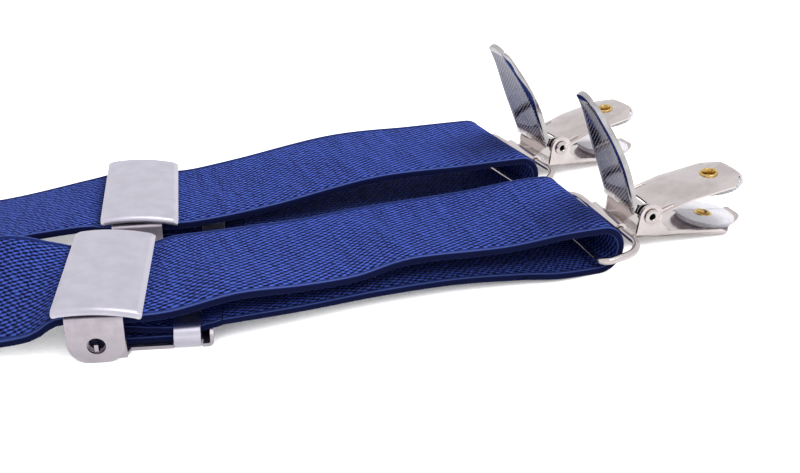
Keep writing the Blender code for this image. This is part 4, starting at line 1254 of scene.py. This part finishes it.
def jaw_outline(start, neck, reach, nose):
    """A jaw plate and its eyelet's hole: full width to the straight's end, then a nose with cut corners."""
    half = JAW_HALF
    side = [(reach, nose - 1.2), (reach - 0.4, nose - 0.4), (reach - 1.2, nose), (neck, nose)]
    side += [(JAW_STRAIGHT + 0.6, half - 0.5), (JAW_STRAIGHT - 0.3, half)]
    outline = mirrored(side + [(start, half)])
    return [outline, circle(EYELET_HOLE, 32, (EYELET_X, 0.0))]


def base_floor():
    """Lower jaw's plate, its tip turned up."""
    bm = flat(jaw_outline(BASE_REAR, TIP_FROM + 0.6, LOWER_REACH + 1.6, LOWER_NOSE))
    slice_at(bm, "X", spread(TIP_FROM, LOWER_REACH, 6))
    floor_z = LOWER_PLANE + JAW_SHEET / 2

    def bend(x, y, z):
        past = max(x - TIP_FROM, 0)
        return (min(x, TIP_FROM) + past * TIP_SHORTENING, y, floor_z + TIP_RISE * past**2)

    shape(bm, bend)
    return thicken(bm, JAW_SHEET)


def base_side(side):
    """Flange along one side of the lower jaw, rising to the domed ear that holds the rivet."""
    top, low = FLANGE_TOP, LOWER_PLANE
    outline = arc((0.0, 0.0), BASE_EAR_RADIUS, 10, 190, 24)[::-1]
    outline += arc((5.4, -1.0), 1.9, 180, 240, 5)
    outline += [(5.4, -3.3), (6.4, -4.3), (8.0, top), (24.2, top), (25.4, top - 0.5)]
    outline += [(JAW_STRAIGHT, low), (BASE_REAR, low)]
    hole = circle(RIVET_RADIUS + PIN_CLEARANCE, 24)
    return side_sheet([outline, hole], JAW_SHEET, side * (JAW_HALF - JAW_SHEET / 2))


def base_tongue():
    """Tongue that leaves the plate's rear and curls up and over the ring's bar."""
    curl_x, curl_z = -CURL_TO_RIVET[0], -CURL_TO_RIVET[1]
    radius = WIRE_RADIUS + 0.2 + JAW_SHEET / 2
    floor_z = LOWER_PLANE + JAW_SHEET / 2
    line = [(1.0, floor_z), (-3.0, floor_z)] + arc((curl_x, curl_z), radius, 270, 15, 28)
    return strip(line, JAW_SHEET, CURL_HALF)


def jaw_slope():
    return math.atan2(JAW_FALL, JAW_STRAIGHT - JAW_BEND[0])


def jaw_height(x, y):
    """Middle surface of the upper jaw when closed: level, then falling past its bend, crowned across."""
    rise = JAW_BEND[1] - 0.4 * smoothstep(JAW_BEND[0] - x, 0.0, 9.0)
    fall = max(x - JAW_BEND[0], 0.0) * math.tan(jaw_slope())
    return rise - fall - JAW_CROWN * (y / JAW_HALF) ** 2


def upper_jaw_plate():
    """Crowned upper jaw with its tip turned down."""
    lip_from, lip_radius = UPPER_REACH - 1.5, LIP_RADIUS
    bm = flat(jaw_outline(JAW_REAR, lip_from + 0.6, lip_from + 4.9, UPPER_NOSE))
    slice_at(bm, "X", [8.0, 12.0, 12.8, 13.6, 18.0, 26.0] + spread(lip_from, lip_from + 1.7, 6))
    slice_at(bm, "Y", spread(-7.5, 7.5, 10))

    def bend(s, y, z):
        over = min(max(s - lip_from, 0.0) / lip_radius, LIP_TURN)
        past = max(s - lip_from - lip_radius * over, 0.0) if over >= LIP_TURN else 0.0
        x = min(s, lip_from) + lip_radius * math.sin(over) + past * math.cos(over)
        drop = lip_radius * (1 - math.cos(over)) + past * math.sin(over)
        return (x, y, jaw_height(min(s, lip_from), y) - drop)

    shape(bm, bend)
    return thicken(bm, JAW_SHEET)


def hinge_ear(y, radius, tail):
    """Small holed ear on the rivet, running into the plate that it carries."""
    outline = arc((0.0, 0.0), radius, 75, 345, 20) + tail
    return side_sheet([outline, circle(RIVET_RADIUS + PIN_CLEARANCE, 24)], JAW_SHEET, y)


def lever_half_width(x):
    """Leaf outline: a little wider in the middle than at the root, narrow at the tip."""
    share = (x - LEAF_ROOT) / (CLIP_LEVER_LENGTH - LEAF_ROOT)
    return 7.6 + 1.0 * math.sin(math.pi * min(share * 1.25, 1.0)) - 8.0 * max(share - 0.35, 0.0) ** 1.6


def lever_height(x, y):
    """Outer face of the lever's leaf: level near the rivet, rising to the tip, slightly hollow across."""
    rise = LEAF_RISE * max(x - LEAF_RISE_FROM, 0.0) ** 2
    return LEVER_LEAF_Z + rise + LEAF_HOLLOW * y * y - 0.15


def lever_leaf():
    """Leaf with its long edges and tip rolled back into a rim; inside the rim its face takes a second
    finish, a painted reflection of the navy strap.
    """
    columns, rows, rim = 18, 34, LEAF_RIM
    bm = bmesh.new()
    bmesh.ops.create_grid(bm, x_segments=columns, y_segments=rows, size=0.5)
    rolled = [(0.0, LEAF_ROLL), (0.08, 0.7), (0.35, 0.2)]
    for vert in bm.verts:
        column = round((vert.co.x + 0.5) * columns)
        row = round((vert.co.y + 0.5) * rows)
        from_tip = rows - row
        back, end_drop = rolled[from_tip] if from_tip < 3 else (rim, 0.0)
        along = min(row / (rows - 3), 1.0)
        x = LEAF_ROOT + (CLIP_LEVER_LENGTH - rim - LEAF_ROOT) * along + rim - back
        from_side = min(column, columns - column)
        inset, drop = rolled[from_side] if from_side < 3 else (rim, 0.0)
        half = lever_half_width(x)
        share = 2 * (column - 3) / (columns - 6) - 1
        y = share * (half - rim) if inset == rim else math.copysign(half - inset, column - columns / 2)
        near_tip = smoothstep(x, CLIP_LEVER_LENGTH - 3.0, CLIP_LEVER_LENGTH)
        fall = max(drop * smoothstep(x, 2.6, 5.0), end_drop)
        vert.co = (x - LEAF_CORNER * near_tip * (y / half) ** 2, y, lever_height(x, y) - fall)
    # Faces inside the rim get the second finish, the painted reflection of the navy strap.
    for face in bm.faces:
        x, y = face.calc_center_median()[:2]
        inside = abs(y) < lever_half_width(x) - rim and 4.2 < x < CLIP_LEVER_LENGTH - 2.4
        face.material_index = int(inside)
    bm = thicken(bm, LEAF_THICK)
    bm.normal_update()
    for face in bm.faces:
        if face.normal.z < 0.3:
            face.material_index = 0
    return bm


def knurling():
    """Rows of small raised dots on the lever's leaf, laid in a diamond grid."""
    bm = bmesh.new()
    pitch = KNURL_PITCH
    size = Matrix.Diagonal(KNURL_SIZE)
    rows = int((CLIP_LEVER_LENGTH - 6.0) / (pitch / 2))
    for row in range(rows):
        x = 4.0 + row * pitch / 2
        half = lever_half_width(x) - 1.2
        for column in range(-8, 9):
            y = (column + 0.5 * (row % 2)) * pitch
            if abs(y) > half:
                continue
            spot = Matrix.Translation((x, y, lever_height(x, y) + LEAF_THICK / 2))
            slope = Vector((-2 * LEAF_RISE * max(x - LEAF_RISE_FROM, 0.0), -0.024 * y, 1.0)).normalized()
            turn = slope.to_track_quat("Z", "X").to_matrix().to_4x4()
            bmesh.ops.create_icosphere(bm, subdivisions=1, radius=1.0, matrix=spot @ turn @ size)
    return bm


def rivet_head(side):
    """Tubular rivet's head, rolled over round a hollow centre."""
    profile = [(RIVET_BORE, 8.3), (RIVET_BORE, 9.0), (1.05, 9.2), (1.4, 9.32), (1.8, 9.25)]
    profile += [(2.1, 9.0), (2.15, 8.8), (2.0, 8.7), (RIVET_RADIUS, 8.7), (RIVET_RADIUS, 8.3)]
    bm = rotated(turned(profile, 32), 90, "X")
    return rotated(bm, 180, "Z") if side > 0 else bm


def rivet_body():
    """Hollow shank between the two heads."""
    half = 8.35
    profile = [(RIVET_BORE, half), (RIVET_RADIUS, half), (RIVET_RADIUS, -half), (RIVET_BORE, -half)]
    return rotated(turned(profile, 24), 90, "X")


def grip_pad(height, grip, tilt=0.0):
    """Soft pad with a scalloped rim, raised towards its gripping side: 1 faces up, -1 faces down."""
    outline = []
    steps = PAD_LOBES * 8
    for step in range(steps):
        angle = 2 * math.pi * step / steps
        bulge = 1 + PAD_LOBE_DEPTH * math.cos(PAD_LOBES * angle)
        across = PAD_ACROSS * bulge * math.sin(angle)
        outline.append((PAD_LONG * bulge * math.cos(angle) + PAD_SHIFT, across))
    bm = flat([outline, circle(EYELET_HOLE, 32)])
    bmesh.ops.inset_region(bm, faces=bm.faces[:], thickness=0.9, depth=0.0, use_even_offset=False)
    bm = thicken(bm, PAD_THICK - 0.2)
    for vert in bm.verts:
        reach = math.hypot(vert.co.x - PAD_SHIFT, vert.co.y)
        outer = smoothstep(reach, 6.9, 8.0)
        top = vert.co.z * grip > 0
        vert.co.z += grip * (0.25 * outer if top else 0.0)
        squeeze = 1.0 + (0.03 if top else -0.1) * outer
        vert.co = Vector((vert.co.x * squeeze, vert.co.y * squeeze, vert.co.z))
    bm.transform(Matrix.Translation((EYELET_X, 0, height)) @ Matrix.Rotation(tilt, 4, "Y"))
    return bm


def eyelet(low, high):
    """Hollow brass rivet with a rolled rim, its mouth funnelling in."""
    roll = 0.4
    profile = [(1.45, low), (1.45, high - 1.2), (1.6, high - 0.7)]
    profile += arc((2.15, high - roll), roll, 160, -40, 10)
    profile += [(2.2, high - 0.75), (1.8, high - 0.85), (1.75, high - 1.1), (1.75, low)]
    return turned(profile, 48)


def build_clip(side):
    """One clip on its ring, each piece placed by the hinge that carries it."""
    lead = side + "_clip_"

    def fit(name, bm, place, finish, body, node, **looks):
        piece(lead + name, bm, place, finish, lead + body, nodes=[lead + node], **looks)

    def opened(joint):
        return math.radians(HINGES[lead + joint]["range_deg"][1])

    level = hinge_frame(lead + "ring_swing")
    to_curl = level.inverted() @ Vector(HINGES[lead + "base_swing"]["pos_m"])
    to_rivet = hinge_frame(lead + "base_swing").inverted() @ Vector(HINGES[lead + "lever_swing"]["pos_m"])
    tilt = math.atan2(to_rivet.z, to_rivet.x) - math.atan2(CURL_TO_RIVET[1], CURL_TO_RIVET[0])
    base = hinge_frame(lead + "lever_swing", tilt)
    jaw = hinge_frame(lead + "lever_swing", tilt + opened("jaw_close"))
    lever = hinge_frame(lead + "lever_swing", tilt + opened("lever_swing"))

    ring = wire_ring(math.atan2(to_curl.z, to_curl.x), math.hypot(to_curl.x, to_curl.z))
    fit("ring_wire", ring, level, "bright_nickel", "ring", "ring")
    parts = [base_floor(), base_side(-1), base_side(1), base_tongue()]
    fit("lower_jaw", joined(parts), base, "bright_nickel", "base", "base", rim=0.12)
    rivet = joined([rivet_body(), rivet_head(-1), rivet_head(1)])
    fit("rivet_tube", rivet, base, "bright_nickel", "base", "rivet")
    pad_z = LOWER_PLANE + JAW_SHEET + GAP + PAD_THICK / 2
    fit("lower_grip", grip_pad(pad_z, 1), base, "clear_plastic", "base", "lower_pad", rim=0.3)
    low_eyelet = shifted(eyelet(LOWER_PLANE + 0.1, pad_z + PAD_THICK / 2 + GAP), x=EYELET_X)
    fit("lower_rivet", low_eyelet, base, "brass", "base", "lower_eyelet")

    tail = [(6.5, -0.6), (7.5, 0.5), (4.2, 0.5)]
    y, radius = JAW_EAR
    parts = [upper_jaw_plate(), hinge_ear(-y, radius, tail), hinge_ear(y, radius, tail)]
    fit("jaw_plate", joined(parts), jaw, "bright_nickel", "jaw", "upper_jaw", rim=0.12)
    slope = jaw_slope()
    plate_z = JAW_BEND[1] - (EYELET_X - JAW_BEND[0]) * math.tan(slope)
    pad_z = plate_z - JAW_SHEET / 2 - GAP - PAD_THICK / 2
    fit("upper_grip", grip_pad(pad_z, -1, slope), jaw, "clear_plastic", "jaw", "upper_pad", rim=0.3)
    top_eyelet = eyelet(pad_z - PAD_THICK / 2 + 0.2 - plate_z, JAW_SHEET / 2 + 0.45)
    top_eyelet.transform(Matrix.Translation((EYELET_X, 0, plate_z)) @ Matrix.Rotation(slope, 4, "Y"))
    fit("upper_rivet", top_eyelet, jaw, "brass", "jaw", "upper_eyelet")

    tail = [(3.2, 1.5), (5.6, LEVER_LEAF_Z - 0.2), (2.5, LEVER_LEAF_Z - 0.2)]
    y, radius = LEVER_EAR
    parts = [lever_leaf(), hinge_ear(-y, radius, tail), hinge_ear(y, radius, tail)]
    # The leaf's second finish is a painted reflection of the navy strap.
    fit("lever_leaf", joined(parts), lever, "chrome", "lever", "lever", rim=0.12, second="painted_reflection_chrome")
    # Painted highlight: the knurl dots take the lighter nickel so that they read bright against the leaf's
    # dark face.
    piece(lead + "lever_knurling", knurling(), lever, "bright_nickel", lead + "lever", slot="chrome")


add_camera()
add_studio()
build_straps()
build_patch()
build_adjusters()
for side in ("right", "left", "back"):
    build_clip(side)
bpy.context.scene.view_settings.view_transform = "Standard"

boxes = {"cad": cad_box, "visual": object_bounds()}
boxes = {name: [[float(value) for value in corner] for corner in box] for name, box in boxes.items()}
